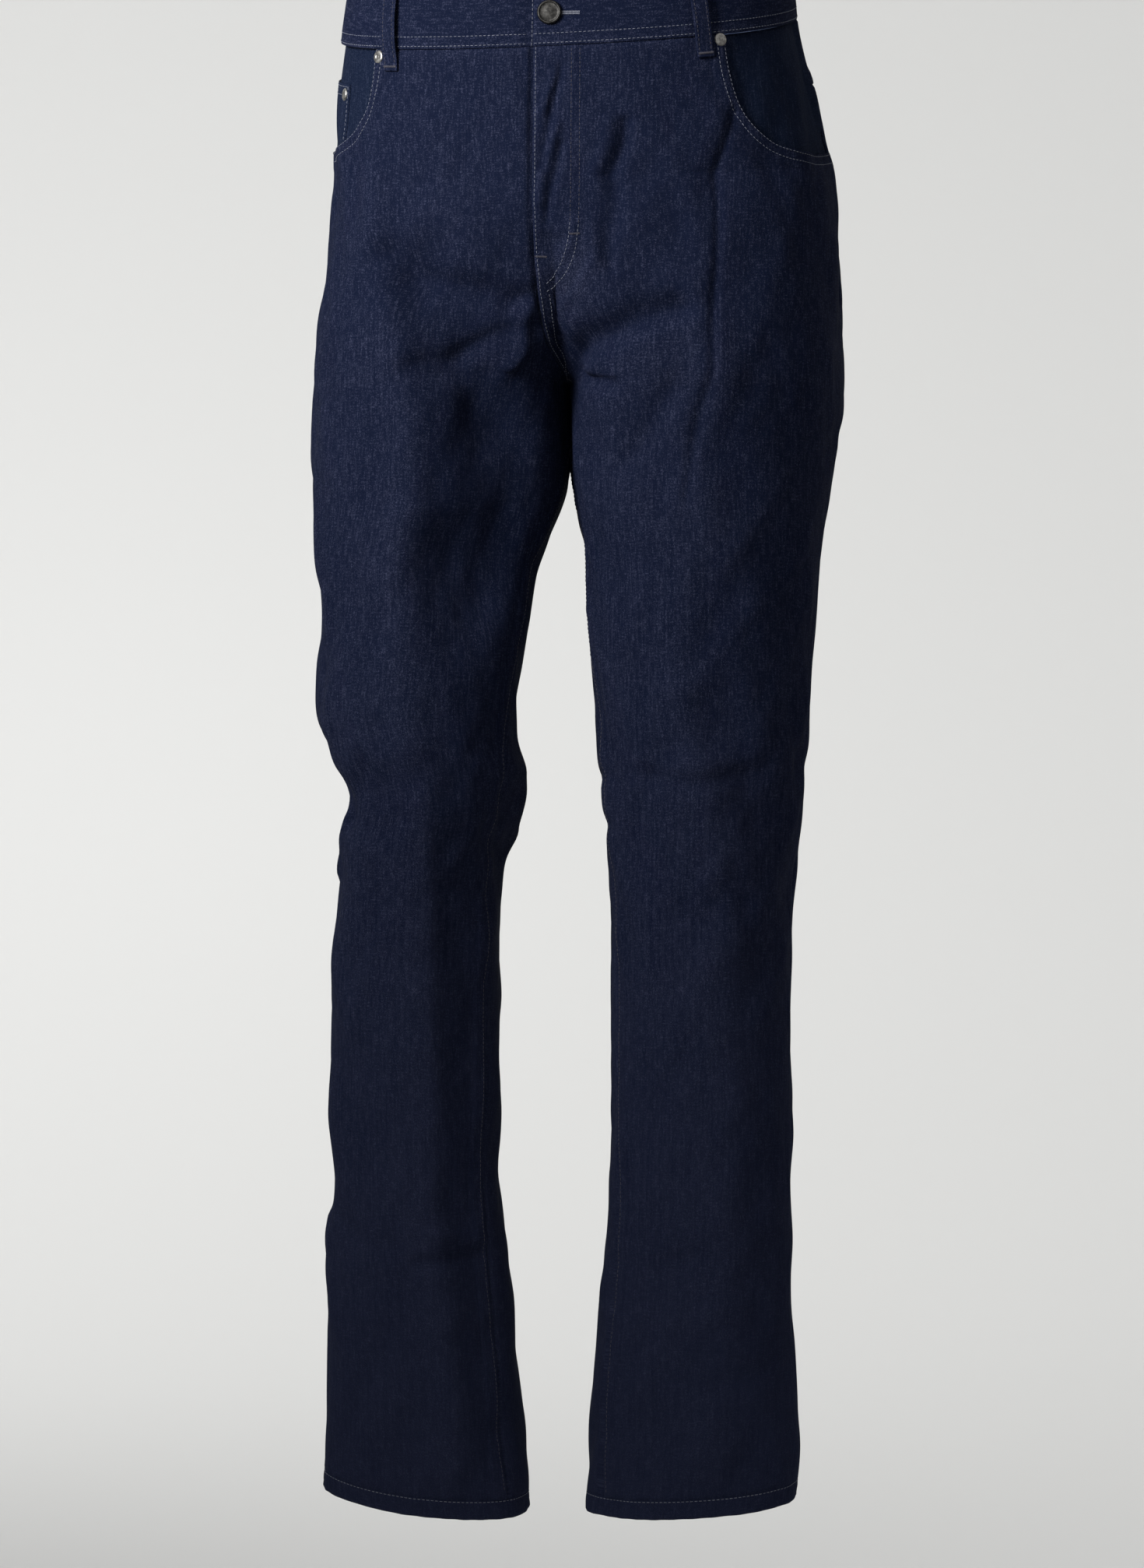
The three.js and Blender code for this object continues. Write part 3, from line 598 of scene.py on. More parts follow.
    def place(self, leg: Leg, t: Array, z: Array, lift: Array = 0.0) -> tuple[Array, Array]:
        """Points of the cloth.

        Args:
            leg: the leg that the angles count round; past the middle plane the other one goes on.
            t: angles.
            z: levels.
            lift: millimetres out from the cloth's face.

        Returns:
            Places in millimetres and the form's outward normals.
        """
        t, z, lift = np.broadcast_arrays(*(np.asarray(v, float) for v in (t, z, lift)))
        at = np.empty(t.shape + (3,))
        normal = np.empty_like(at)
        for owner, mask, angle in self.owners(leg, t, z):
            if mask.any():
                a, level = angle[mask], z[mask]
                base, out = self.ring(owner, a, level), self.normal(owner, a, level)
                rise = self.relief(owner, a, level, base) + lift[mask]
                at[mask] = base + out * rise[..., None]
                normal[mask] = out
        return at, normal

    def outseam(self, leg: Leg, z: Array) -> Array:
        """Angle of the outseam."""
        return self.column(leg.seams, 1, np.asarray(z, float))

    def inner_edge(self, leg: Leg, z: Array) -> Array:
        """Angle of the middle plane above the crotch and of the inseam below it."""
        z = np.asarray(z, float)
        return np.where(z > CROTCH, self.section(leg, z)[5], self.column(leg.seams, 2, z))

    def owners(self, leg: Leg, t: Array, z: Array) -> tuple[tuple[Leg, Array, Array], ...]:
        """Each leg's share of points, since past the middle plane the other leg goes on.

        Args:
            leg: the leg that the angles count round.
            t: angles.
            z: levels.

        Returns:
            For each leg, which points are on it and their angles round it.
        """
        meeting = self.section(leg, z)[5]
        over = (z > CROTCH) & (np.abs(t) > meeting + 1e-6)
        beyond = np.sign(t) * (2 * meeting - np.abs(t))
        return (leg, ~over, t), (RIGHT if leg is LEFT else LEFT, over, beyond)

    def bare(self, leg: Leg, t: Array, z: Array) -> Array:
        """Points of the smooth form, past the middle plane too.

        Args:
            leg: the leg that the angles count round.
            t: angles.
            z: levels.

        Returns:
            Places in millimetres.
        """
        at = np.empty(t.shape + (3,))
        for owner, mask, angle in self.owners(leg, t, z):
            at[mask] = self.ring(owner, angle[mask], z[mask])
        return at

    def round_to(self, leg: Leg, t: Array, length: Array, z: Array) -> Array:
        """Angle that lies a length further round from t.

        Args:
            leg: the leg.
            t: angles to start from.
            length: millimetres, negative towards smaller angles.
            z: levels.

        Returns:
            The angles reached.
        """
        t, length, z = np.broadcast_arrays(*(np.asarray(v, float) for v in (t, length, z)))
        start = self.bare(leg, t, z)
        near, far = np.zeros_like(t), np.abs(length)
        for _ in range(24):
            middle = (near + far) / 2
            there = self.bare(leg, t + np.sign(length) * middle, z)
            past = np.linalg.norm(there - start, axis=-1) > np.abs(length)
            near, far = np.where(past, near, middle), np.where(past, middle, far)
        return t + np.sign(length) * near

    def scoop(self, leg: Leg, share: Array) -> tuple[Array, Array]:
        """Angle and level of the pocket's mouth: share 0 at the waistband, 1 at the outseam.

        Args:
            leg: the leg.
            share: from 0 at the waistband to 1 at the outseam.

        Returns:
            Angles and levels.
        """
        beta = np.radians(90.0 * np.asarray(share, float))
        z = WAIST_SEAM - leg.pocket_depth * np.sin(beta) ** leg.pocket_curve
        turn = np.maximum(np.cos(beta), 0.0) ** leg.pocket_curve
        return mix(self.outseam(leg, z), leg.pocket_top, turn), z

    def in_front(self, leg: Leg, x: Array, z: Array) -> Array:
        """Angle in front of a leg at a distance from the middle plane.

        Args:
            leg: the leg.
            x: distances from the middle plane.
            z: levels.

        Returns:
            Angles from 0 to 180.
        """
        half, middle, _, _, roundness, _ = self.section(leg, z)
        share = np.clip((x - middle) / half, -1.0, 1.0)
        return np.degrees(np.arccos(power(share, roundness / 2)))

    def straight(self, leg: Leg, z: Array) -> Array:
        """Angle in front of a leg that the cloth's grain runs straight down at."""
        middle = self.section(leg, np.array(CROTCH))[1]
        return np.where(z > CROTCH, self.in_front(leg, middle, z), 90.0)

    def grain(self, leg: Leg, t: Array, z: Array, start: Array) -> Array:
        """Place across the cloth's grain, which runs straight down.

        Args:
            leg: the leg.
            t: angles.
            z: levels.
            start: the angles that the grain is straight at.

        Returns:
            Millimetres round the leg from the straight grain.
        """
        if leg not in self.around:
            self.around[leg] = spans(self.ring(leg, self.AROUND[None, :], self.DOWN[:, None]), 1)
        table = self.around[leg]

        def index(value: Array, axis: Array) -> tuple[Array, Array]:
            """Whole and fractional place of values in the table.

            Args:
                value: angles or levels.
                axis: the table's own ones.

            Returns:
                Both places.
            """
            share = (value - axis[0]) / (axis[1] - axis[0])
            share = np.clip(share, 0.0, len(axis) - 1.001)
            return share.astype(int), share

        i, row = index(z, self.DOWN)

        def at_angle(angle: Array) -> Array:
            """Length at an angle, between the table's values.

            Args:
                angle: angles.

            Returns:
                Millimetres from the table's first angle.
            """
            j, column = index(angle, self.AROUND)
            upper = mix(table[i, j], table[i, j + 1], column - j)
            lower = mix(table[i + 1, j], table[i + 1, j + 1], column - j)
            return mix(upper, lower, row - i)

        return at_angle(t) - at_angle(start)

    def evenly(self, path: Callable[[Array], tuple[Array, Array]], leg: Leg) -> tuple[Array, float]:
        """Values at equal lengths along a path on a leg, about a pitch apart, and its length.

        Args:
            path: angles and levels for values from 0 to 1.
            leg: the leg.

        Returns:
            The values and the length in millimetres.
        """
        values = np.linspace(0.0, 1.0, 400)
        length = spans(self.ring(leg, *path(values)))
        steps = max(2, round(length[-1] / PITCH))
        return np.interp(np.linspace(0, length[-1], steps + 1), length, values), length[-1]


FORM = Form()


@dataclass
class Line:
    """A line on the cloth.

    Attributes:
        at: its points in millimetres.
        normal: the cloth's outward normal at each.
    """

    at: Array
    normal: Array

    @classmethod
    def on(cls, leg: Leg, t: Array, z: Array) -> "Line":
        """Line through angles and levels of a leg."""
        return cls(*FORM.place(leg, t, z))

    def aside(self, distance: float) -> "Line":
        """The line moved sideways in the cloth, positive to its left as seen from outside."""
        side = unit(np.cross(self.normal, np.gradient(self.at, axis=0)))
        return Line(self.at + side * distance, self.normal)

    def lifted(self, distance: float) -> "Line":
        """The line moved out from the cloth."""
        return Line(self.at + self.normal * distance, self.normal)

    def evened(self, pitch: float) -> "Line":
        """The same line with points a pitch apart.

        Args:
            pitch: millimetres.

        Returns:
            The new line.
        """
        length = spans(self.at)
        count = max(1, round(length[-1] / pitch))
        wanted = np.linspace(0.0, length[-1], count + 1)
        at, normal = (
            np.stack([np.interp(wanted, length, part[:, k]) for k in range(3)], -1)
            for part in (self.at, self.normal)
        )
        return Line(at, unit(normal))

    def where(self, keep: Array) -> "Line":
        """The part of the line whose points are kept."""
        return Line(self.at[keep], self.normal[keep])


class Edge(Enum):
    """How a panel's edge is sewn, which sets how the cloth rises and falls beside it."""

    PRESSED = "seam pressed open, its allowance showing through"
    FELLED = "folded seam that stands up under its rows of stitches"
    UNDER = "tucked under its neighbour"
    TURNED = "turned in and stitched down"
    PLAIN = "goes on into its neighbour"

    def lift(self, distance: Array, along: Array) -> Array:
        """Height of the cloth beside the edge.

        Args:
            distance: millimetres from the edge.
            along: millimetres along it.

        Returns:
            Millimetres out of the cloth's face.
        """
        near = np.minimum(distance, 60.0)
        pucker = np.sin(along / 1.55 + 1.7 * np.sin(along / 13.0)) * 0.6
        pucker += np.sin(along / 2.6 + 2.1 * np.sin(along / 29.0 + 1.0)) * 0.7
        if self is Edge.PRESSED:
            roll = -0.85 * (1 - ease(0.0, 2.4, near))
            return roll + 0.34 * ease(1.0, 3.0, near) * (1 - ease(9.5, 12.5, near))
        if self is Edge.FELLED:
            roll = -0.45 * (1 - ease(0.0, 1.0, near)) + 0.75 * (1 - ease(9.8, 11.6, near))
            return roll + 0.22 * pucker * beside(near - 6.0, 5.0)
        if self is Edge.UNDER:
            return -0.9 * (1 - ease(0.0, 1.8, near)) + 0.16 * pucker * beside(near, 6.0)
        if self is Edge.TURNED:
            roll = -0.5 * (1 - ease(0.0, 1.1, near)) + 0.4 * (1 - ease(11.5, 14.5, near))
            return roll + 0.14 * pucker * beside(near - 4.0, 4.0)
        return np.zeros_like(near)


def cloth_piece(
    name: str,
    points: Array,
    corners: Array,
    sizes: Array,
    finishes: Sequence[Material],
    slots: Array,
) -> Piece:
    """A smooth mesh object at the origin.

    Args:
        name: its name.
        points: its vertices in millimetres.
        corners: vertex numbers of its faces, one face after another.
        sizes: each face's number of corners.
        finishes: its materials.
        slots: each face's material number.

    Returns:
        The object, in metres.
    """
    mesh = bpy.data.meshes.new(name)
    mesh.vertices.add(len(points))
    mesh.vertices.foreach_set("co", (points * MM).astype(np.float32).ravel())
    mesh.loops.add(len(corners))
    mesh.loops.foreach_set("vertex_index", corners.astype(np.int32))
    mesh.polygons.add(len(sizes))
    mesh.polygons.foreach_set("loop_start", (np.cumsum(sizes) - sizes).astype(np.int32))
    mesh.update(calc_edges=True)
    mesh.validate()
    mesh.polygons.foreach_set("use_smooth", np.ones(len(sizes), bool))
    for finish in finishes:
        mesh.materials.append(finish)
    mesh.polygons.foreach_set("material_index", slots.astype(np.int32))
    piece = bpy.data.objects.new(name, mesh)
    bpy.context.scene.collection.objects.link(piece)
    return piece


@dataclass
class Grid:
    """A sheet of points on the cloth, rows by columns, before it gets its wall.

    Attributes:
        at: outer points in millimetres, rows by columns by three.
        outward: rough outward directions.
        ring: whether the last column joins the first.
        flat: millimetres across the grain and up along it, if the rows and columns don't follow it.
    """

    at: Array
    outward: Array
    ring: bool = False
    flat: tuple[Array, Array] | None = None
    ROW = 10000  # a corner's code is its row times this, plus its column

    def spans(self, axis: int) -> Array:
        """Length from the first row (axis 0) or column (axis 1) to each point."""
        return spans(self.at, axis)

    def raised(self, lift: Array) -> "Grid":
        """The same sheet moved out by a height at each point."""
        return replace(self, at=self.at + self.outward * lift[..., None])

    def normals(self) -> Array:
        """Unit normals of the grid, outwards.

        Returns:
            Vectors in the shape of the points.
        """
        if self.ring:
            wrapped = np.concatenate([self.at[:, -1:], self.at, self.at[:, :1]], axis=1)
            across = np.gradient(wrapped, axis=1)[:, 1:-1]
        else:
            across = np.gradient(self.at, axis=1)
        normal = unit(np.cross(across, np.gradient(self.at, axis=0)))
        return normal * np.sign((normal * self.outward).sum(-1).mean() + 1e-12)

    def shell(
        self,
        name: str,
        wall: float,
        finishes: Sequence[Material],
        edge: Array,
        bulge: float,
    ) -> Piece:
        """A closed wall of cloth with round edges.

        Args:
            name: the piece's name.
            wall: its thickness in millimetres.
            finishes: materials of its outer and inner side.
            edge: 0 to 1 by a sewn edge, for paler rubbed cloth, and on a fold's ridge, for a
                painted highlight.
            bulge: how far the round edges stand out, in walls.

        Returns:
            The piece, in metres.
        """
        rows, columns = self.at.shape[:2]
        inner = self.at - self.normals() * wall
        last = columns if self.ring else columns - 1
        i, j = (v.ravel() for v in np.meshgrid(range(rows - 1), range(last), indexing="ij"))
        down, right = self.ROW, 1
        quad = (i * self.ROW + j)[:, None] + np.array([0, down, down + right, right])
        layer = rows * columns
        points = [self.at.reshape(-1, 3), inner.reshape(-1, 3)]
        vertices = quad // self.ROW * columns + quad % self.ROW % columns
        faces, codes = [vertices, vertices[:, ::-1] + layer], [quad, quad[:, ::-1]]
        for loop in self.loops():
            r, c = loop[:, 0], loop[:, 1] % columns
            centre = (self.at + inner) / 2
            inside = c if self.ring else np.clip(c, 1, columns - 2)
            out = unit(centre[r, c] - centre[np.clip(r, 1, rows - 2), inside])
            rim = sum(len(part) for part in points) + np.arange(len(loop) - 1)
            points.append((centre[r, c] + out * wall * bulge)[:-1])
            code, vertex = r * self.ROW + loop[:, 1], r * columns + c
            strip = np.stack([vertex[:-1], vertex[1:], np.roll(rim, -1), rim], -1)
            code = np.stack([code[:-1], code[1:], code[1:], code[:-1]], -1)
            faces += [strip, (strip + np.array([layer, layer, 0, 0]))[:, ::-1]]
            codes += [code, code[:, ::-1]]
        at, corners, code = (np.concatenate(parts) for parts in (points, faces, codes))
        a, b, c, d = (at[corners[:, k]] for k in range(4))
        if (a * (np.cross(b, c) + np.cross(c, d))).sum() < 0:
            corners, code = corners[:, ::-1], code[:, ::-1]
        slots = np.zeros(len(corners), int)
        slots[len(quad) : 2 * len(quad)] = 1
        sizes = np.full(len(corners), 4)
        piece = cloth_piece(name, at, corners.ravel(), sizes, finishes, slots)
        self.unwrap(piece.data, code)
        values = np.concatenate([edge.ravel(), edge.ravel(), np.ones(len(at) - 2 * layer)])
        attribute = piece.data.attributes.new("edge", "FLOAT", "POINT")
        attribute.data.foreach_set("value", values.astype(np.float32))
        return piece

    def loops(self) -> list[Array]:
        """Rows and columns along each free edge, back to its start.

        Returns:
            One loop of pairs, or two where the sheet is a ring.
        """
        rows, columns = self.at.shape[:2]
        if self.ring:
            ends = ((0, range(columns + 1)), (rows - 1, range(columns, -1, -1)))
            return [np.array([(row, column) for column in run]) for row, run in ends]
        low, last = rows - 1, columns - 1
        loop = [(0, column) for column in range(last)]
        loop += [(row, last) for row in range(low)]
        loop += [(low, column) for column in range(last, 0, -1)]
        loop += [(row, 0) for row in range(low, -1, -1)]
        return [np.array(loop)]

    def unwrap(self, mesh: bpy.types.Mesh, codes: Array) -> None:
        """Lays the cloth flat in metres: across it, then up along its grain.

        Args:
            mesh: the piece's mesh.
            codes: codes of its faces' corners.
        """
        flat = self.flat
        if flat is None:
            at = np.concatenate([self.at, self.at[:, :1]], axis=1) if self.ring else self.at
            across = spans(at, 1)
            flat = across - across[:, [across.shape[1] // 2]], -spans(at)
        r, c = codes.ravel() // self.ROW, codes.ravel() % self.ROW
        laid = np.stack([side[r, c] for side in flat], -1) * MM
        mesh.uv_layers.new(name="cloth").data.foreach_set("uv", laid.astype(np.float32).ravel())


@dataclass
class Panel:
    """A piece of the body, as rows that run from one edge to the other.

    Attributes:
        leg: the leg whose angles the rows count in.
        start: angles and levels of the rows' starts.
        end: angles and levels of the rows' ends.
        edges: how the start, end, top and bottom edges are sewn.
        pitch: millimetres between columns.
        offsets: the columns beside each edge, by their distance from it.
    """

    leg: Leg
    start: tuple[Array, Array]
    end: tuple[Array, Array]
    edges: tuple[Edge, Edge, Edge, Edge]
    pitch: float = PITCH
    offsets: tuple[float, ...] = (*FINE, 5.4, 7.8, 9.6, 10.8, 12.2, 14.4)

    def between(self, share: Array) -> tuple[Array, Array]:
        """Angles and levels at shares of the way along the rows."""
        return tuple(mix(a[:, None], b[:, None], share) for a, b in zip(self.start, self.end))

    def lay(self) -> tuple[Array, Array, Array]:
        """Angles, levels and distances from the start of the columns, at even lengths.

        Returns:
            The three, rows by columns.
        """
        share = np.linspace(0.0, 1.0, 160)[None, :]
        t, z = self.between(share)
        length = spans(FORM.bare(self.leg, t, z), 1)
        edge = np.array(self.offsets)
        middle = max(4, round((length[:, -1].max() - 2 * edge[-1]) / self.pitch))
        wanted = np.empty((len(t), middle + 2 * len(edge) - 1))
        found = np.empty_like(wanted)
        for row, (total, marks) in enumerate(zip(length[:, -1], length)):
            shrink = min(1.0, total / (2.6 * edge[-1]))
            low, high = edge * shrink, total - edge[::-1] * shrink
            between = np.linspace(low[-1], high[0], middle + 1)[1:-1]
            wanted[row] = np.concatenate([low, between, high])
            found[row] = np.interp(wanted[row], marks, share[0])
        return *self.between(found), wanted

    def grid(
        self, lift: Callable[[Array, Array, Array], Array] | None = None
    ) -> tuple[Grid, Array]:
        """The panel's points, how rubbed each is, and where a fold's ridge gets a painted
        highlight.

        Args:
            lift: extra height, from the base points, the levels and the distances from the
                rows' ends.

        Returns:
            The grid, and values from 0 to 1: rubbed cloth beside a sewn edge, and a painted
                highlight on a fold's ridge.
        """
        t, z, from_start = self.lay()
        at, normal = FORM.place(self.leg, t, z)
        from_end = from_start[:, -1:] - from_start
        from_top = spans(at)
        from_bottom = from_top[-1:] - from_top
        total, near = np.zeros_like(t), np.zeros_like(t)
        pairs = zip(self.edges, (from_start, from_end, from_top, from_bottom))
        for index, (edge, distance) in enumerate(pairs):
            along = from_top if index < 2 else from_start
            total += edge.lift(distance, along)
            if edge is not Edge.PLAIN:
                near = np.maximum(near, beside(distance, 7.0))
        if lift is not None:
            total += lift(at, z, from_end)
        # A fold's ridge makes the cloth paler in the finish: a painted highlight.
        raised = FORM.relief(self.leg, t, z, FORM.bare(self.leg, t, z))
        near = np.maximum(near, np.clip(raised / 8.0, 0.0, 0.8))
        straight = FORM.straight(self.leg, z) * np.sign(t.mean())
        flat = FORM.grain(self.leg, t, z, straight), z
        return Grid(at, normal, flat=flat).raised(total), near


# ---- Finishes ----
Feed = "Signal | Socket | float"
Colour = tuple[float, float, float]


class Shader:
    """One material's nodes."""

    def __init__(self, name: str) -> None:
        """Starts an empty material with its output.

        Args:
            name: the material's name.
        """
        self.material = bpy.data.materials.new(name)
        self.material.use_nodes = True
        self.nodes = self.material.node_tree.nodes
        self.links = self.material.node_tree.links
        self.nodes.clear()

    def add(
        self, kind: str, settings: dict | None = None, inputs: dict | None = None
    ) -> bpy.types.Node:
        """Adds a node.

        Args:
            kind: the node's type.
            settings: its own properties, set first.
            inputs: values or links by socket name or number.

        Returns:
            The node.
        """
        node = self.nodes.new(kind)
        for key, value in (settings or {}).items():
            setattr(node, key, value)
        for key, value in (inputs or {}).items():
            socket = value.socket if isinstance(value, Signal) else value
            if isinstance(socket, Socket):
                self.links.new(socket, node.inputs[key])
            else:
                node.inputs[key].default_value = socket
        return node

    def flat(self, across: float, along: float, shift: float = 0.0) -> Socket:
        """Coordinates on the cloth, counted in patches of a size in millimetres.

        Args:
            across: size across the grain.
            along: size along it.
            shift: moves the pattern.

        Returns:
            The coordinates.
        """
        uv = self.add("ShaderNodeUVMap", {"uv_map": "cloth"}).outputs[0]
        scale = (1000.0 / across, 1000.0 / along, 1.0)
        place = {0: uv, 1: scale, 2: (shift, shift, shift)}
        return self.add("ShaderNodeVectorMath", {"operation": "MULTIPLY_ADD"}, place).outputs[0]

    def solid(self, size: float) -> Socket:
        """Coordinates in space, counted in patches of a size in millimetres.

        Args:
            size: of a patch.

        Returns:
            The coordinates.
        """
        at = self.add("ShaderNodeTexCoord").outputs["Object"]
        place = {0: at, 1: (1000.0 / size,) * 3}
        return self.add("ShaderNodeVectorMath", {"operation": "MULTIPLY"}, place).outputs[0]

    def height(self) -> "Signal":
        """Height in metres."""
        parts = self.add("ShaderNodeSeparateXYZ", {}, {0: self.solid(1000.0)})
        return Signal(self, parts.outputs[2])

    def noise(self, at: Socket, detail: float = 1.0, rough: float = 0.5) -> "Signal":
        """Cloudy values from 0 to 1 about 0.5, a patch apart."""
        inputs = {"Vector": at, "Scale": 1.0, "Detail": detail, "Roughness": rough}
        return Signal(self, self.add("ShaderNodeTexNoise", {}, inputs).outputs[0])

    def blend(self, factor: "Signal", first: Colour, second: Colour) -> Socket:
        """Colour between two colours."""
        inputs = {0: factor, 6: (*first, 1.0), 7: (*second, 1.0)}
        return self.add("ShaderNodeMix", {"data_type": "RGBA"}, inputs).outputs[2]

    def finish(
        self, fixed: dict, varied: dict, bump: "Signal | None" = None, depth: float = 0.0
    ) -> Material:
        """Closes the material.

        Args:
            fixed: values that are the same all over the surface.
            varied: what changes over it.
            bump: height from 0 to 1.
            depth: the height's size in metres.

        Returns:
            The material.
        """
        surface = self.add("ShaderNodeBsdfPrincipled", {}, {**fixed, **varied})
        if bump is not None:
            node = self.add("ShaderNodeBump", {}, {"Distance": depth, "Height": bump})
            self.links.new(node.outputs[0], surface.inputs["Normal"])
        self.add("ShaderNodeOutputMaterial", {}, {"Surface": surface.outputs[0]})
        return self.material


@dataclass(frozen=True)
class Signal:
    """A number in a shader that takes part in Python expressions."""

    shader: Shader
    socket: Socket

    def math(self, operation: str, *values: Feed) -> "Signal":
        """A Math node on this number and others."""
        node = self.shader.add("ShaderNodeMath", {"operation": operation}, dict(enumerate(values)))
        return Signal(self.shader, node.outputs[0])

    def __add__(self, other: Feed) -> "Signal":
        """Sum."""
        return self.math("ADD", self, other)

    __radd__ = __add__

    def __mul__(self, other: Feed) -> "Signal":
        """Product."""
        return self.math("MULTIPLY", self, other)

    __rmul__ = __mul__

    def __sub__(self, other: Feed) -> "Signal":
        """Difference."""
        return self.math("SUBTRACT", self, other)

    def __rsub__(self, other: Feed) -> "Signal":
        """Difference from a number on the left."""
        return self.math("SUBTRACT", other, self)

    def sine(self) -> "Signal":
        """Sine of this number in radians."""
        return self.math("SINE", self)

    def rise(self, low: float, high: float) -> "Signal":
        """Smooth step from 0 at low to 1 at high.

        Args:
            low: where it starts.
            high: where it ends.

        Returns:
            The stepped number.
        """
        inputs = {"Value": self, "From Min": low, "From Max": high}
        settings = {"interpolation_type": "SMOOTHSTEP"}
        node = self.shader.add("ShaderNodeMapRange", settings, inputs)
        return Signal(self.shader, node.outputs[0])


@dataclass(frozen=True)
class Denim:
    """Ring-dyed twill: dark warp, pale flecks of weft in streaks, paler rubbed edges, and paler
    fold ridges as a painted highlight.

    Attributes:
        name: the finish's name.
        dark: colour of the dyed warp.
        pale: colour of the weft that shows.
        flecks: how much of the weft shows.
        wear_and_highlight_strength: how much paler the rubbed edges and the painted highlights on
            fold ridges are.
    """

    name: str
    dark: Colour
    pale: Colour
    flecks: float
    wear_and_highlight_strength: float

    def make(self) -> Material:
        """The material.

        Returns:
            The material.
        """
        s = Shader(self.name)
        streak = s.noise(s.flat(1.5, 9.0), 2.0, 0.65)
        slub = s.noise(s.flat(2.4, 80.0, 7.0), 1.0)
        pick = s.noise(s.flat(6.0, 1.4, 3.0), 2.0, 0.65)
        cluster = s.noise(s.flat(5.0, 13.0, 5.0), 2.0, 0.6)
        grain = s.noise(s.flat(1.0, 1.2, 11.0), 3.0, 0.85)
        tone = s.noise(s.solid(85.0), 2.0)
        edge = Signal(s, s.add("ShaderNodeAttribute", {"attribute_name": "edge"}).outputs["Fac"])
        weave = grain + streak * 0.45 + pick * 0.3 + cluster * 0.15
        fleck = weave.rise(0.93, 1.22)
        body = weave - 0.95 + (slub - 0.5) * 0.6 + (tone - 0.5) * 0.3
        # The weave's flecks, streaks and slubs weigh less in the colour lower down, towards the
        # hems.
        weave_weight_by_height = s.height().rise(-1.1, -0.15) * 0.6 + 0.4
        mask = (fleck - 0.38) * weave_weight_by_height * self.flecks + body * 0.3 * weave_weight_by_height + 0.38 * self.flecks
        # Paler by a sewn edge, where the cloth is rubbed, and on a fold's ridge, as a painted
        # highlight.
        mask = mask + edge * (grain.rise(0.35, 0.75) * self.wear_and_highlight_strength)
        colour = s.blend(mask.math("MAXIMUM", mask, 0.0), self.dark, self.pale)
        split = s.add("ShaderNodeSeparateXYZ", {}, {0: s.flat(0.95, 1.6)})
        across, along = (Signal(s, split.outputs[k]) for k in (0, 1))
        twill = ((across - along) * math.tau).sine() * 0.5 + 0.5
        height = twill * 0.3 + streak * 0.5 + grain * 0.9 + slub * 0.3
        fixed = {"Metallic": 0.0, "Diffuse Roughness": 0.25, "Specular IOR Level": 0.01}
        varied = {"Base Color": colour, "Roughness": grain * 0.15 + 0.75}
        return s.finish(fixed, varied, height, 0.0003)


@dataclass(frozen=True)
class Thread:
    """Spun sewing thread.

    Attributes:
        name: the finish's name.
        light: colour of its high fibres.
        dark: colour between them.
    """

    name: str
    light: Colour
    dark: Colour

    def make(self) -> Material:
        """The material.

        Returns:
            The material.
        """
        s = Shader(self.name)
        fibre = s.noise(s.solid(0.7), 2.0, 0.6)
        patch = s.noise(s.solid(14.0), 1.0)
        colour = s.blend(fibre.rise(0.3, 0.7) * 0.7 + patch * 0.3, self.dark, self.light)
        fixed = {"Metallic": 0.0, "Specular IOR Level": 0.3}
        varied = {"Base Color": colour, "Roughness": patch * 0.2 + 0.6}
        return s.finish(fixed, varied, fibre, 0.00012)


@dataclass(frozen=True)
class Metal:
    """Plated metal with fine rubbed marks.

    Attributes:
        name: the finish's name.
        bright: colour where it is rubbed.
        dull: colour where it isn't.
        rough: roughness of the clean plate.
    """

    name: str
    bright: Colour
    dull: Colour
    rough: float

    def make(self) -> Material:
        """The material.

        Returns:
            The material.
        """
        s = Shader(self.name)
        cloud = s.noise(s.solid(2.4), 3.0, 0.6)
        speck = s.noise(s.solid(0.35), 2.0, 0.6)
        colour = s.blend(cloud.rise(0.35, 0.7), self.dull, self.bright)
        varied = {"Base Color": colour, "Roughness": cloud * 0.16 + speck * 0.08 + self.rough}
        return s.finish({"Metallic": 1.0}, varied, speck, 0.00002)


DENIM = Denim("denim", (0.0037, 0.0056, 0.0152), (0.059, 0.065, 0.112), 0.36, 0.10)
REVERSE = Denim("denim_reverse", (0.020, 0.028, 0.055), (0.17, 0.19, 0.24), 0.45, 0.05)
# A dimmer, less flecked copy of the denim for the pieces set in under the fronts: painted shade.
UNDER = Denim("denim_under", (0.0036, 0.0062, 0.0155), (0.046, 0.056, 0.095), 0.3, 0.05)
PALE_THREAD = Thread("thread_pale", (0.17, 0.178, 0.21), (0.045, 0.05, 0.075))
# The dark thread; on the fly's straight rows it stands for painted shade.
DULL_THREAD = Thread("thread_dull", (0.044, 0.040, 0.050), (0.015, 0.015, 0.024))
NICKEL = Metal("nickel", (0.34, 0.335, 0.32), (0.15, 0.145, 0.14), 0.28)
GUNMETAL = Metal("gunmetal", (0.036, 0.035, 0.033), (0.016, 0.0155, 0.015), 0.3)


class Cupboard:
    """The finishes, each made once."""

    def __init__(self) -> None:
        """Makes them all."""
        finishes = (DENIM, REVERSE, UNDER, PALE_THREAD, DULL_THREAD, NICKEL, GUNMETAL)
        self.made = {finish.name: finish.make() for finish in finishes}

    def __getitem__(self, finish: Denim | Thread | Metal) -> Material:
        """The material of a finish."""
        return self.made[finish.name]


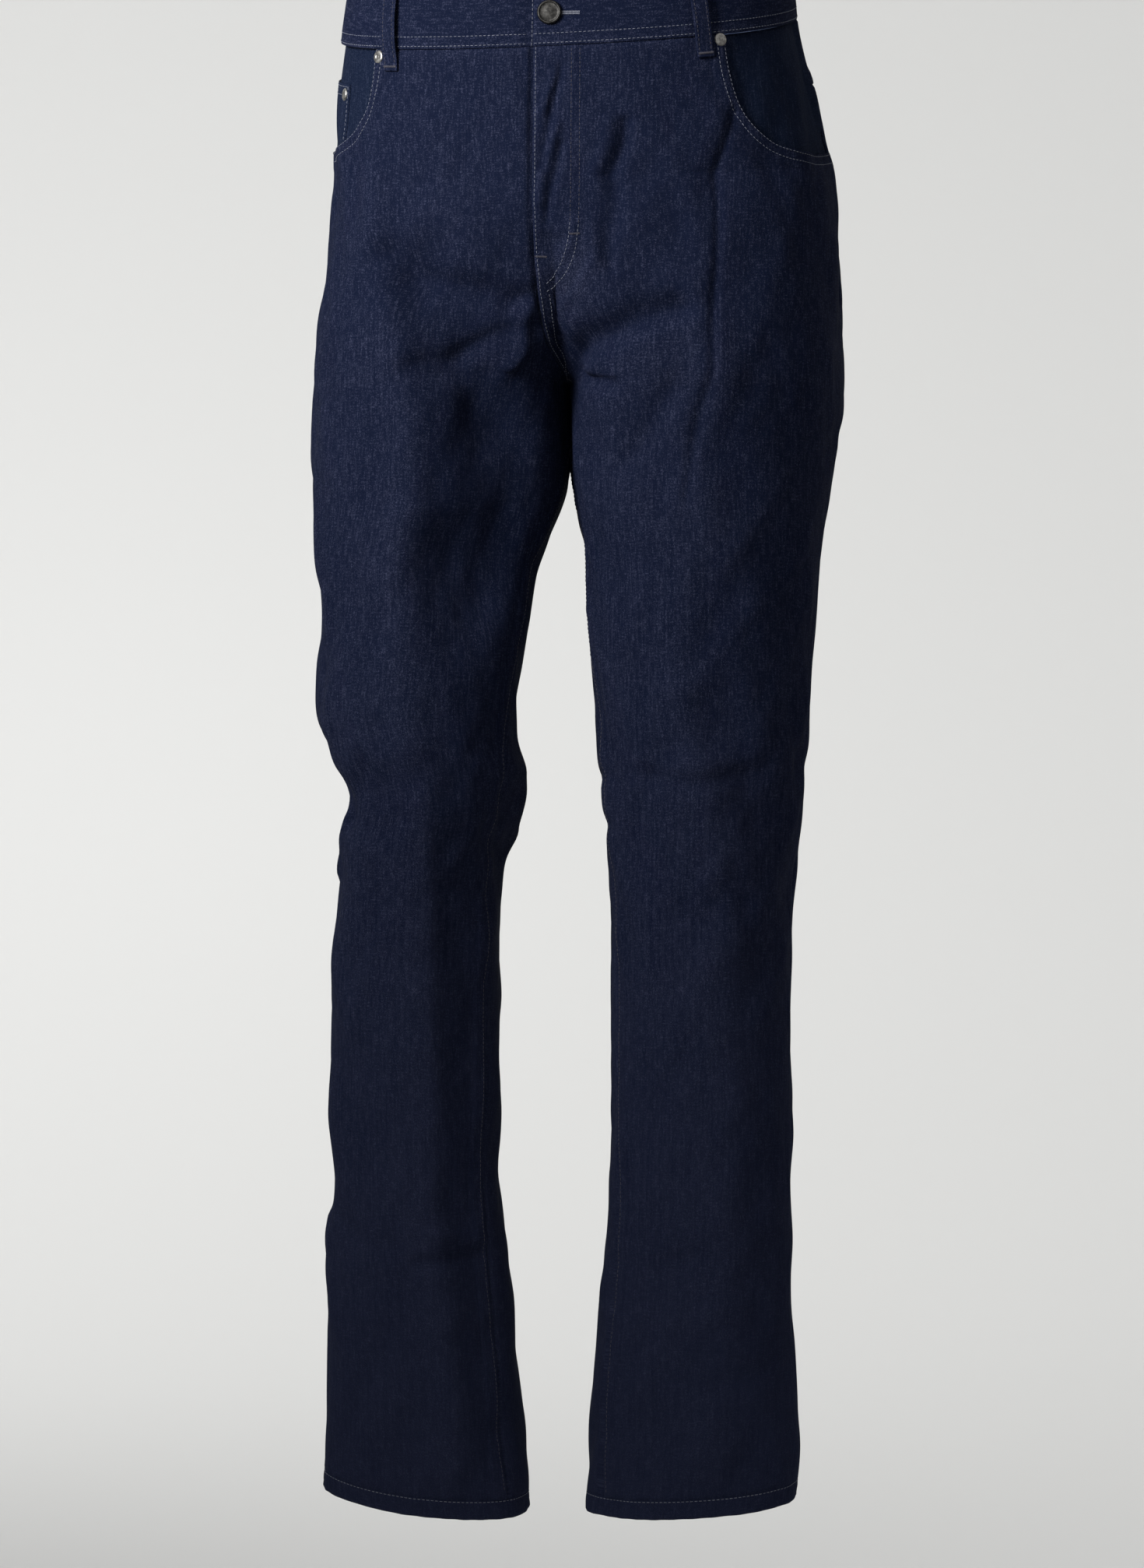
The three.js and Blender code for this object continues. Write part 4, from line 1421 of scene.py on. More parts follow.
# ---- Sewing ----
class Workbench:
    """Operator modelling with nothing else selected."""

    @staticmethod
    def clear() -> None:
        """Leaves edit mode and deselects everything."""
        if bpy.context.object is not None and bpy.context.object.mode != "OBJECT":
            bpy.ops.object.mode_set(mode="OBJECT")
        for piece in bpy.context.scene.objects:
            piece.select_set(False)

    @staticmethod
    def pick(kind: str, choose: Callable[[Vector], bool]) -> None:
        """Selects the vertices, edges or faces of the edited mesh by their centre.

        Args:
            kind: VERT, EDGE or FACE.
            choose: whether a centre is in.
        """
        bpy.ops.mesh.select_mode(type=kind)
        bpy.ops.mesh.select_all(action="DESELECT")
        bpy.ops.object.mode_set(mode="OBJECT")
        mesh = bpy.context.object.data
        parts = {"VERT": mesh.vertices, "EDGE": mesh.edges, "FACE": mesh.polygons}[kind]
        for part in parts:
            corners = [part.index] if kind == "VERT" else part.vertices
            centre = sum((mesh.vertices[k].co for k in corners), Vector()) / len(corners)
            part.select = choose(centre)
        bpy.ops.object.mode_set(mode="EDIT")

    @staticmethod
    def stand(piece: Piece, at: Array, normal: Array) -> Piece:
        """Turns a piece's own +Z to a normal and moves it, in its mesh, from millimetres.

        Args:
            piece: the piece, standing on the origin.
            at: its new place in millimetres.
            normal: its new direction.

        Returns:
            The same piece.
        """
        turn = Vector((0, 0, 1)).rotation_difference(Vector(normal)).to_matrix().to_4x4()
        piece.data.transform(Matrix.Translation(Vector(at) * MM) @ turn @ Matrix.Scale(MM, 4))
        piece.data.update()
        return piece


@dataclass
class Needle:
    """Sews rows of stitches onto pieces.

    Attributes:
        finishes: the cupboard.
        thickness: of the thread, millimetres.
        pitch: from one stitch to the next.
        length: of the thread that shows in one stitch.
        proud: how far a stitch stands out, in thicknesses.
        rows: place, heading, side, normal, size and dullness of each stitch on each piece.
        trees: the search trees of the pieces' surfaces.
    """

    finishes: Cupboard
    thickness: float = 0.34
    pitch: float = 3.1
    length: float = 2.2
    proud: float = 0.22
    rows: dict[str, list[tuple]] = field(default_factory=dict)
    trees: dict[str, BVHTree] = field(default_factory=dict)

    def stitch(self) -> tuple[Array, list[tuple[int, ...]]]:
        """Models one stitch, a short arch of thread with its ends in the cloth.

        Returns:
            Its points for a length and thickness of 1, and its faces.
        """
        Workbench.clear()
        bpy.ops.mesh.primitive_cylinder_add(vertices=6, radius=0.5, depth=1.0)
        piece = bpy.context.object
        bpy.ops.object.mode_set(mode="EDIT")
        for level in (-0.3, 0.0, 0.3):
            bpy.ops.mesh.select_all(action="SELECT")
            bpy.ops.mesh.bisect(plane_co=(0, 0, level), plane_no=(0, 0, 1))
        Workbench.pick("VERT", lambda at: abs(at.z) > 0.45)
        bpy.ops.transform.resize(value=(0.62, 0.62, 1.0))
        bpy.ops.transform.translate(value=(-0.62, 0, 0))
        Workbench.pick("VERT", lambda at: abs(at.z) < 0.05)
        bpy.ops.transform.translate(value=(0.12, 0, 0))
        bpy.ops.object.mode_set(mode="OBJECT")
        mesh = piece.data
        points = np.array([(v.co.z, v.co.y, v.co.x) for v in mesh.vertices])
        faces = [tuple(reversed(face.vertices)) for face in mesh.polygons]
        bpy.data.objects.remove(piece)
        return points, faces

    def onto(self, host: Piece) -> BVHTree:
        """The search tree of a piece's surface.

        Args:
            host: the piece.

        Returns:
            Its tree, made once.
        """
        if host.name not in self.trees:
            bpy.context.view_layer.update()
            self.trees[host.name] = BVHTree.FromObject(host, bpy.context.evaluated_depsgraph_get())
        return self.trees[host.name]

    def drop(self, host: Piece, at: Array, normal: Array) -> tuple[Array, Array] | None:
        """Where a point comes down on a piece, and the surface's normal there.

        Args:
            host: the piece.
            at: the point in millimetres.
            normal: the outward direction there.

        Returns:
            Place and normal, or None where it misses.
        """
        start = Vector(at + normal * 6.0) * MM
        hit, facing, _, _ = self.onto(host).ray_cast(start, Vector(-normal), 0.012)
        if hit is None:
            return None
        return np.array(hit) / MM, np.array(facing)

    def sew(
        self,
        host: Piece,
        line: Line,
        pitch: float | None = None,
        length: float | None = None,
        thickness: float | None = None,
        across: bool = False,
        dull: bool = False,
    ) -> None:
        """Adds a row of stitches along a line.

        Args:
            host: the piece that they are on.
            line: where they run.
            pitch: from one to the next, millimetres.
            length: of each.
            thickness: of the thread.
            across: whether each stitch lies across the line.
            dull: whether the thread is the dull one.
        """
        pitch = pitch or self.pitch
        length = length or self.length
        thickness = thickness or self.thickness
        points = line.evened(pitch)
        middles, normals = ((part[1:] + part[:-1]) / 2 for part in (points.at, points.normal))
        made = self.rows.setdefault(host.name, [])
        for at, normal, heading in zip(middles, unit(normals), np.diff(points.at, axis=0)):
            landed = self.drop(host, at, normal)
            if landed is None:
                continue
            place, facing = landed
            if across:
                heading = np.cross(facing, heading)
            heading = unit(heading - facing * (heading @ facing))
            size = (length, thickness, thickness)
            made.append((place, heading, np.cross(facing, heading), facing, size, dull))

    def tack(self, host: Piece, line: Line, width: float, dull: bool = False) -> None:
        """Sews a bar tack: close stitches across a short line."""
        self.sew(host, line, 0.62, width, 0.5, True, dull)

    def finish(self) -> dict[str, Piece]:
        """Makes one thread piece for each piece that was sewn on.

        Returns:
            The thread pieces by the sewn pieces' names.
        """
        points, faces = self.stitch()
        loops = np.concatenate(faces)
        made = {}
        for host, rows in self.rows.items():
            place, *frame_axes, scale, dull = (np.array(column) for column in zip(*rows))
            local = points * scale[:, None, :]
            local[..., 2] += scale[:, None, 2] * self.proud
            world = place[:, None, :] + local @ np.stack(frame_axes, axis=1)
            corners = np.arange(len(rows))[:, None] * len(points) + loops
            sizes = np.tile([len(face) for face in faces], len(rows))
            threads = [self.finishes[thread] for thread in (PALE_THREAD, DULL_THREAD)]
            slots = np.repeat(dull, len(faces))
            at = world.reshape(-1, 3)
            piece = cloth_piece(f"thread_{host}", at, corners.ravel(), sizes, threads, slots)
            made[host] = piece
            log.info("%s: %d stitches", piece.name, len(rows))
        return made


# ---- The garment ----
@dataclass(frozen=True)
class Cut:
    """What a piece was cut to, in metres, and how it is held.

    Attributes:
        flat: width and length of the cut.
        area: its flat area.
        rests_on: names of the pieces that hold it.
    """

    flat: tuple[float, float]
    area: float
    held: str
    rests_on: tuple[str, ...]


def middle_of(node: str) -> Array:
    """Middle of a node's box in millimetres."""
    low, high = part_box(node)
    return np.array((low + high) / 2) / MM


def lap_at(z: Array) -> Array:
    """How far the left front reaches past the middle plane."""
    return LAP_WIDTH * ease(CROTCH, LAP_END, z)


def centre_levels(leg: Leg, top: float, steps: int) -> Array:
    """Levels at equal lengths along the centre seam, from a level down to the crotch.

    Args:
        leg: the leg.
        top: the first level.
        steps: how many steps to take.

    Returns:
        The levels, one more than the steps.
    """

    def path(share: Array) -> tuple[Array, Array]:
        """Angle and level of the centre seam."""
        z = CROTCH + (top - CROTCH) * (1 - share) ** 2
        return FORM.inner_edge(leg, z), z

    values, _ = FORM.evenly(path, leg)
    share = np.interp(np.linspace(0, 1, steps + 1), np.linspace(0, 1, len(values)), values)
    return path(share)[1]


@dataclass
class Tailor:
    """Makes cloth pieces.

    Attributes:
        finishes: the cupboard.
        wall: thickness of the cloth.
        bulge: how far its round edges stand out, in walls.
        pieces: what it has made, by the pieces' nodes.
        grids: the pieces' sheets.
    """

    finishes: Cupboard
    wall: float = 1.2
    bulge: float = 0.32
    pieces: dict[str, Piece] = field(default_factory=dict)
    grids: dict[str, Grid] = field(default_factory=dict)

    def keep(
        self, node: str, grid: Grid, wear_and_highlight_mask: Array, face: Denim = DENIM, back: Denim = REVERSE
    ) -> None:
        """Makes a node's piece from its sheet.

        Args:
            node: the node's name.
            grid: the sheet.
            wear_and_highlight_mask: 0 to 1 at each point, for the finish: rubbed edges, and painted
                highlights on fold ridges.
            face: finish of its outer side.
            back: finish of its inner side.
        """
        finishes = (self.finishes[face], self.finishes[back])
        self.grids[node] = grid
        self.pieces[node] = grid.shell(f"{node}_denim", self.wall, finishes, wear_and_highlight_mask, self.bulge)

    def make(self) -> None:
        """Makes every piece."""

    def build(self) -> dict[str, Piece]:
        """Makes every piece.

        Returns:
            The pieces by their nodes' names.
        """
        self.make()
        return self.pieces


@dataclass
class Body(Tailor):
    """The fronts, backs and yokes.

    Attributes:
        side_gap: from the outseam to each panel's edge.
        seam_gap: between neighbouring pieces.
        fly_sink: how far the right front is set in under the lap.
        tuck: how far an edge goes on under its neighbour.
        lap_gap: from the left front's edge to the right front's, where they meet.
        worn_at: the most rubbed place of the fronts, at the fly's lower end.
    """

    side_gap: float = 0.12
    seam_gap: float = 0.15
    fly_sink: float = 2.6
    tuck: float = 3.0
    lap_gap: float = 0.6
    worn_at: tuple[float, float, float] = (12.0, 0.0, -222.0)

    def leg_levels(self, last: float) -> Array:
        """Levels of the rows from the crotch down, closer by the hem."""
        steps = round((CROTCH - last) / PITCH)
        return np.linspace(CROTCH, last, steps + 1)[1:]

    def scoop_rows(self, leg: Leg) -> tuple[Array, Array, Array]:
        """Outer angles and levels, and inner levels, of the rows beside the pocket's mouth.

        Args:
            leg: the leg.

        Returns:
            The three, from the waistband down.
        """
        shares, _ = FORM.evenly(lambda share: FORM.scoop(leg, share), leg)
        t, z = FORM.scoop(leg, shares[:-1])
        count = len(shares) - 1
        return t, z, mix(WAIST_SEAM, FRONT_BREAK, np.arange(count) / count)

    def front(self, leg: Leg) -> None:
        """One front, from the outseam and the pocket's mouth to the fly and the inseam.

        Args:
            leg: the leg.
        """
        scoop_t, scoop_z, scoop_inner = self.scoop_rows(leg)
        corner = float(FORM.scoop(leg, np.array([1.0]))[1][0])
        steps = round((corner - CROTCH) / PITCH)
        rise_outer = np.linspace(corner, CROTCH, steps + 1)
        rise_inner = centre_levels(leg, FRONT_BREAK, steps)
        below = self.leg_levels(HEM_TOP + self.seam_gap)
        outer_z = np.concatenate([scoop_z, rise_outer, below])
        outer_t = np.concatenate([scoop_t, FORM.outseam(leg, rise_outer), FORM.outseam(leg, below)])
        inner_z = np.concatenate([scoop_inner, rise_inner, below])
        outer_z[0] = inner_z[0] = WAIST_SEAM - 0.3
        middle = FORM.inner_edge(leg, inner_z)
        lap = lap_at(inner_z)
        reach = lap
        if leg is RIGHT:
            reach = -mix(lap + self.lap_gap, 0.0, ease(FLY_CLOSED, FLY_END, inner_z))
        start = FORM.round_to(leg, outer_t, self.side_gap, outer_z), outer_z
        end = FORM.round_to(leg, middle, reach, inner_z), inner_z
        panel = Panel(leg, start, end, (Edge.PRESSED, Edge.PLAIN, Edge.UNDER, Edge.PLAIN))
        mouth = Line.on(leg, *FORM.scoop(leg, np.linspace(0.0, 1.0, 90)))
        centre = self.left_lift if leg is LEFT else self.right_lift

        def lift(at: Array, z: Array, left: Array) -> Array:
            """The fly or the underlap, the inseam and the turned edge of the pocket's mouth.

            Args:
                at: places.
                z: levels.
                left: distances from the inner edge.

            Returns:
                Millimetres out of the cloth's face.
            """
            along = np.broadcast_to(inner_z[:, None], z.shape)
            return centre(left, along) + self.mouth_lift(at, z, mouth)

        grid, near = panel.grid(lift)
        x, _, z = np.moveaxis(grid.at - self.worn_at, -1, 0)
        rubbed = np.maximum(self.rubbed(grid, 3.0), 3.0 * beside(np.hypot(x / 18.0, z / 30.0), 1.0))
        self.keep(f"front_{leg.name}", grid, np.maximum(near, rubbed))

    @staticmethod
    def rubbed(grid: Grid, width: float) -> Array:
        """How rubbed the cloth is beside the rows' ends."""
        across = grid.spans(1)
        return 0.7 * beside(across[:, -1:] - across, width)

    def left_lift(self, left: Array, along: Array) -> Array:
        """Extra height of the left front beside the fly, the crotch seam and the inseam.

        Args:
            left: distances from the fly's edge or the inseam.
            along: levels.

        Returns:
            Millimetres out of the cloth's face.
        """
        facing = 0.5 * (1 - ease(28.0, 32.0, left)) * ease(-232.0, -212.0, along)
        above = ease(CROTCH - 4.0, CROTCH + 4.0, along)
        fly = Edge.TURNED.lift(left, -along) + facing
        return mix(Edge.FELLED.lift(left, -along), fly, above)

    def right_lift(self, left: Array, along: Array) -> Array:
        """Extra height of the right front: it goes in under the lap, and down at its inseam.

        Args:
            left: distances from the underlap's edge or the inseam.
            along: levels.

        Returns:
            Millimetres out of the cloth's face.
        """
        edge = lap_at(along) + self.lap_gap
        from_middle = left + mix(edge, 0.0, ease(FLY_CLOSED, FLY_END, along))
        closed = ease(UNDERLAP_END, FLY_CLOSED, along)
        above = ease(CROTCH - 4.0, CROTCH + 4.0, along)
        under = -self.fly_sink * closed * (1 - ease(edge + 0.3, edge + 4.5, from_middle))
        meets = -0.9 * (1 - ease(0.0, 2.6, left)) * above * (1 - closed)
        return Edge.FELLED.lift(left, -along) * (1 - above) + under + meets

    @staticmethod
    def mouth_lift(at: Array, z: Array, mouth: Line) -> Array:
        """Height of the turned edge along the pocket's mouth.

        Args:
            at: places.
            z: their levels.
            mouth: the mouth's edge.

        Returns:
            Millimetres out of the cloth's face.
        """
        out = np.zeros_like(z)
        near = z > -165.0
        gaps = np.linalg.norm(at[near][:, None, :] - mouth.at, axis=-1)
        out[near] = Edge.TURNED.lift(gaps.min(axis=1), spans(mouth.at)[gaps.argmin(axis=1)])
        return out

    def back(self, leg: Leg) -> None:
        """One back below its yoke, from the outseam to the seat seam and the inseam.

        Args:
            leg: the leg.
        """
        steps = round((YOKE_SIDE - CROTCH) / PITCH)
        rise_outer = np.linspace(YOKE_SIDE, CROTCH, steps + 1)
        rise_inner = centre_levels(leg, YOKE_CENTRE, steps)
        below = self.leg_levels(HEM_TOP + self.seam_gap)
        outer_z = np.concatenate([rise_outer, below])
        inner_z = np.concatenate([rise_inner, below])
        outer_z[0] -= self.seam_gap
        inner_z[0] -= self.seam_gap
        start = FORM.round_to(leg, FORM.outseam(leg, outer_z), -self.side_gap, outer_z), outer_z
        inner = FORM.inner_edge(leg, inner_z)
        tuck = np.full_like(inner_z, self.tuck)
        if leg is LEFT:
            tuck *= ease(CROTCH, CROTCH - 8.0, inner_z)
        seam = np.where(inner_z > CROTCH, -inner, inner - 360.0)
        end = FORM.round_to(leg, seam, -tuck, inner_z), inner_z
        edges = (Edge.PRESSED, Edge.PLAIN, Edge.UNDER, Edge.PLAIN)

        def lift(_: Array, z: Array, left: Array) -> Array:
            """The seat seam's fold stands up on the left back, and the other edges go under.

            Args:
                _: places.
                z: levels.
                left: distances from the inner edge.

            Returns:
                Millimetres out of the cloth's face.
            """
            along = np.broadcast_to(inner_z[:, None], z.shape)
            under = -1.05 * (1 - ease(tuck[:, None], tuck[:, None] + 1.8, left))
            if leg is RIGHT:
                return under
            seat = ease(CROTCH - 8.0, CROTCH + 4.0, along)
            return mix(under, Edge.FELLED.lift(left, -along), seat)

        grid, near = Panel(leg, start, end, edges, pitch=3.3).grid(lift)
        self.keep(f"back_{leg.name}", grid, np.maximum(near, self.rubbed(grid, 7.0)))

    def yoke(self, leg: Leg) -> None:
        """One yoke between the waistband and the back.

        Args:
            leg: the leg.
        """
        v = np.linspace(0.0, 1.0, 19)
        top = WAIST_SEAM - 0.3
        outer_z, inner_z = mix(top, YOKE_SIDE, v), mix(top, YOKE_CENTRE, v)
        start = FORM.round_to(leg, FORM.outseam(leg, outer_z), -self.side_gap, outer_z), outer_z
        end = -FORM.inner_edge(leg, inner_z), inner_z
        edges = (Edge.PRESSED, Edge.UNDER, Edge.UNDER, Edge.FELLED)

        def lift(_: Array, z: Array, left: Array) -> Array:
            """The seat seam's fold stands up on the left yoke."""
            return Edge.FELLED.lift(left, -z) if leg is LEFT else np.zeros_like(z)

        self.keep(f"yoke_{leg.name}", *Panel(leg, start, end, edges).grid(lift))

    def make(self) -> None:
        """Makes all six panels."""
        for leg in LEGS:
            self.front(leg)
            self.back(leg)
            self.yoke(leg)


@dataclass
class Pockets(Tailor):
    """The front pockets' facings, the coin pocket and the back pockets.

    Attributes:
        set_in: how far the facings lie under the fronts.
        under: how far they go on past the pocket's mouth.
        coin: coin pocket's front and back edges in degrees and its top.
        clearance: between a back pocket and the back under it.
        top: level of the back pockets' mouths.
        long: length of a back pocket, down to its point.
        wide: its width at the mouth.
        point: depth of its point.
        inset: from the middle plane to its inner edge.
        taper: its width at the lower end, as a share.
        slope: how much lower the mouth is at its inner end.
    """

    set_in: float = 3.4
    under: float = 12.0
    coin: tuple[float, float, float] = (24.0, 2.0, -65.0)
    clearance: float = 0.5
    top: float = -124.0
    long: float = 168.0
    wide: float = 150.0
    point: float = 20.0
    inset: float = 40.0
    taper: float = 0.88
    slope: float = 8.0

    def facing(self, leg: Leg) -> None:
        """The cloth seen in a front pocket's mouth, sewn level with the back at the outseam.

        Args:
            leg: the leg.
        """
        mouth = WAIST_SEAM - leg.pocket_depth
        z = np.linspace(WAIST_SEAM - 0.6, mouth - self.under, 45)
        edge_t = FORM.round_to(leg, FORM.outseam(leg, z), 0.15, z)
        top = FORM.round_to(leg, np.array([leg.pocket_top]), self.under, np.array([WAIST_SEAM]))[0]
        panel = Panel(leg, (edge_t, z), (np.full_like(z, top), z), (Edge.PLAIN,) * 4)
        level = ease(mouth + 6.0, mouth + 20.0, z)[:, None]

        def lift(_: Array, __: Array, left: Array) -> Array:
            """The facing comes out to the outseam above the mouth's lower end.

            Args:
                _: places.
                __: levels.
                left: distances from the front edge.

            Returns:
                Millimetres out of the form.
            """
            from_seam = left[:, :1] - left
            out = level * (1 - ease(0.0, 14.0, from_seam))
            return -self.set_in * (1 - out) - 0.9 * level * (1 - ease(0.0, 2.4, from_seam))

        # The facing takes the dimmer copy of the denim: painted shade.
        self.keep(f"pocket_facing_{leg.name}", *panel.grid(lift), UNDER)

    def coin_pocket(self) -> None:
        """The small pocket on the right facing, its mouth hemmed."""
        front, back, top = self.coin
        scoop_t, scoop_z = FORM.scoop(RIGHT, np.linspace(0.0, 1.0, 400))
        t = np.linspace(back, front, 27)
        bottom = np.interp(t, scoop_t[::-1], scoop_z[::-1]) + 1.2
        z = mix(top, bottom, np.linspace(0.0, 1.0, 21)[:, None])
        grid = Grid(*FORM.place(RIGHT, t, z))
        sides = grid.spans(1)
        seam = np.minimum(sides, sides[:, -1:] - sides)
        lift = -self.set_in + self.wall + 0.25 + 0.15 * (1 - ease(0, 11, grid.spans(0)))
        grid = grid.raised(lift - 0.7 * (1 - ease(0.0, 1.4, seam)))
        # The coin pocket takes the dimmer copy of the denim: painted shade.
        self.keep("coin_pocket", grid, beside(np.minimum(seam, grid.spans(0)), 5.0), UNDER)

    def back_at(self, leg: Leg, down: Array, over: Array) -> tuple[Array, Array]:
        """Angle and level of a point of a back pocket.

        Args:
            leg: the leg.
            down: share of its length.
            over: share from its inner to its outer edge.

        Returns:
            Angles and levels.
        """
        depth = down * mix(self.long - self.point, self.long, 1 - np.abs(2 * over - 1))
        z = self.top + self.slope * (over - 0.5) - depth
        narrowing = self.wide * (1 - self.taper) * down
        inner = -FORM.in_front(leg, self.inset + narrowing / 2, z)
        return FORM.round_to(leg, inner, over * (self.wide - narrowing), z), z

    def back_pocket(self, leg: Leg) -> None:
        """A patch pocket on one back, its mouth standing off a little.

        Args:
            leg: the leg.
        """
        shares = (
            np.concatenate([[0, 0.006, 0.016], np.linspace(0.03, 0.97, count), [0.985, 0.994, 1]])
            for count in (52, 46)
        )
        down, over = np.meshgrid(*shares, indexing="ij")
        side = np.minimum(over, 1 - over) * self.wide
        low = (1 - down) * self.long
        rim = np.minimum(side, low)
        pucker = Edge.TURNED.lift(rim, down * self.long + over * self.wide)
        lift = self.clearance + self.wall + 0.25 + pucker * 0.9
        mouth = down * self.long
        lift += 0.7 * (1 - ease(22.0, 26.0, mouth)) - 0.5 * (1 - ease(0.0, 1.2, mouth))
        lift += 0.9 * (1 - ease(0.0, 60.0, mouth)) * ease(4.0, 50.0, side)
        lift += 0.5 * np.sin(over * 9.0 + down * 5.0) * np.sin(down * 7.0 + 0.6) * ease(0, 30, rim)
        grid = Grid(*FORM.place(leg, *self.back_at(leg, down, over))).raised(lift)
        self.keep(f"back_pocket_{leg.name}", grid, beside(np.minimum(rim, mouth), 6.0))

    def make(self) -> None:
        """Makes the five pocket pieces."""
        for leg in LEGS:
            self.facing(leg)
            self.back_pocket(leg)
        self.coin_pocket()


@dataclass
class Waist(Tailor):
    """The waistband, doubled cloth.

    Attributes:
        proud: how far its face stands out over the panels.
        sink: how far its under end is set in.
    """

    wall: float = 2.2
    bulge: float = 0.3
    proud: float = 0.5
    sink: float = 2.8

    def run(self) -> tuple[Array, Array, Array]:
        """The band's columns, from the end that lies under, round the back, to the buttoned end.

        Returns:
            Lengths along it, angles, and whether each is on the left leg's form.
        """
        right = np.linspace(101.0, -90.0, 900)
        lap = FORM.round_to(RIGHT, np.array([90.0]), -LAP_WIDTH, np.array([WAIST_SEAM]))[0]
        left = (np.linspace(-90.0, 90.0, 900)[1:], np.linspace(90.0, 180.0 - lap, 40)[1:])
        angles = np.concatenate([right, *left])
        on_left = np.arange(len(angles)) >= len(right)
        level = np.full_like(angles, (WAIST_TOP + WAIST_SEAM) / 2)
        forms = (FORM.bare(leg, angles, level) for leg in LEGS)
        length = spans(np.where(on_left[:, None], *forms))
        total, edge = length[-1], np.array(FINE)
        count = round((total - 2 * FINE[-1]) / PITCH)
        middle = np.linspace(FINE[-1], total - FINE[-1], count + 1)[1:-1]
        wanted = np.concatenate([edge, middle, total - edge[::-1]])
        index = np.interp(wanted, length, np.arange(len(angles)))
        low = np.floor(index).astype(int)
        high = np.minimum(low + 1, len(angles) - 1)
        place = mix(angles[low], angles[high], index - low)
        return wanted, np.where(on_left[low] == on_left[high], place, -90.0), on_left[low]

    def make(self) -> None:
        """Makes the band."""
        wanted, place, on_left = self.run()
        height = WAIST_TOP - WAIST_SEAM
        ends = height - np.array(FINE[::-1])
        drop = np.array([*FINE, *np.linspace(5.0, height - 5.0, 12), *ends])
        along, across = np.meshgrid(wanted, drop)
        left, right = (FORM.place(leg, place, WAIST_TOP - across) for leg in LEGS)
        at, out = (np.where(on_left[None, :, None], a, b) for a, b in zip(left, right))
        end = np.minimum(along, wanted[-1] - along)
        edge = np.minimum(np.minimum(across, height - across), end)
        pucker = np.sin(along / 1.75 + 1.3 * np.sin(along / 17.0)) * 0.5
        pucker += np.sin(along / 3.1 + 2.0 * np.sin(along / 31.0)) * 0.6
        # The band puffs between its rows of stitches, and its lower fold puckers.
        lift = self.proud + 0.35 * ease(2.5, 7.0, across) * ease(3.0, 12.0, height - across)
        lift -= 0.55 * (1 - ease(0.0, 1.3, edge))
        lift += 0.13 * pucker * beside(height - across - 4.0, 4.5)
        lift += 0.08 * pucker * beside(across - 3.0, 3.0)
        under = ~on_left & (along < 120.0)
        lift -= np.where(under, self.sink * (1 - ease(12.5, 26.0, -at[..., 0])), 0.0)
        grid = Grid(at, out, flat=(across, along)).raised(lift)
        self.keep("waistband", grid, beside(edge, 5.0), back=DENIM)


@dataclass
class Loops(Tailor):
    """The belt loops: folded strips, sewn down above and below the band.

    Attributes:
        proud: how far the band under them stands out.
        width: of a loop.
        top: level of the loops' upper ends.
        end: level of their lower ends.
        bow: how far they stand off the band.
        places: name, leg and end angles of each.
    """

    wall: float = 1.6
    bulge: float = 0.3
    proud: float = 0.5
    width: float = 13.0
    top: float = WAIST_TOP + 0.5
    end: float = WAIST_SEAM - 15.0
    bow: float = 3.0
    places: tuple[tuple[str, Leg, float, float], ...] = (
        ("front_left", LEFT, *LEFT.loop),
        ("front_right", RIGHT, *RIGHT.loop),
        ("side_left", LEFT, -27.0, -28.0),
        ("side_right", RIGHT, -27.0, -28.0),
        ("back", LEFT, -90.0, -90.0),
    )

    def loop(self, name: str, leg: Leg, top: float, end: float) -> None:
        """One belt loop.

        Args:
            name: its place.
            leg: the leg whose angles it counts in.
            top: angle of its upper end.
            end: angle of its lower end.
        """
        v = np.concatenate([[0.0, 0.012, 0.03], np.linspace(0.06, 0.95, 24), [0.97, 0.988, 1.0]])
        side = np.array([-0.5, -0.47, -0.41, -0.3, -0.15, 0.0, 0.15, 0.3, 0.41, 0.47, 0.5])
        v, u = np.meshgrid(v, side, indexing="ij")
        z = mix(self.top, self.end, v)
        t = FORM.round_to(leg, mix(top, end, v), u * self.width, z)
        _, normal = FORM.place(leg, mix(top, end, v), z)
        at, _ = FORM.place(leg, t, z)
        bow = self.bow * np.sin(math.pi * np.minimum(1.0, v / 0.86)) ** 0.7
        seat = self.proud * mix(2.0, 1.4, ease(0.8, 0.95, v))
        crown = 0.25 * (1 - (2 * u) ** 2) - 0.28 * (1 - ease(0.0, 0.05, np.minimum(v, 1 - v)))
        groove = -0.16 * beside(np.abs(u) - 0.33, 0.05)
        lift = seat + bow + self.wall + crown + groove - 0.45 * (np.abs(u) > 0.49)
        wear_and_highlight_mask = beside((0.5 - np.abs(u)) * self.width, 3.0)
        self.keep(f"belt_loop_{name}", Grid(at, normal).raised(lift), wear_and_highlight_mask, back=DENIM)

    def make(self) -> None:
        """Makes the loops."""
        for place in self.places:
            self.loop(*place)


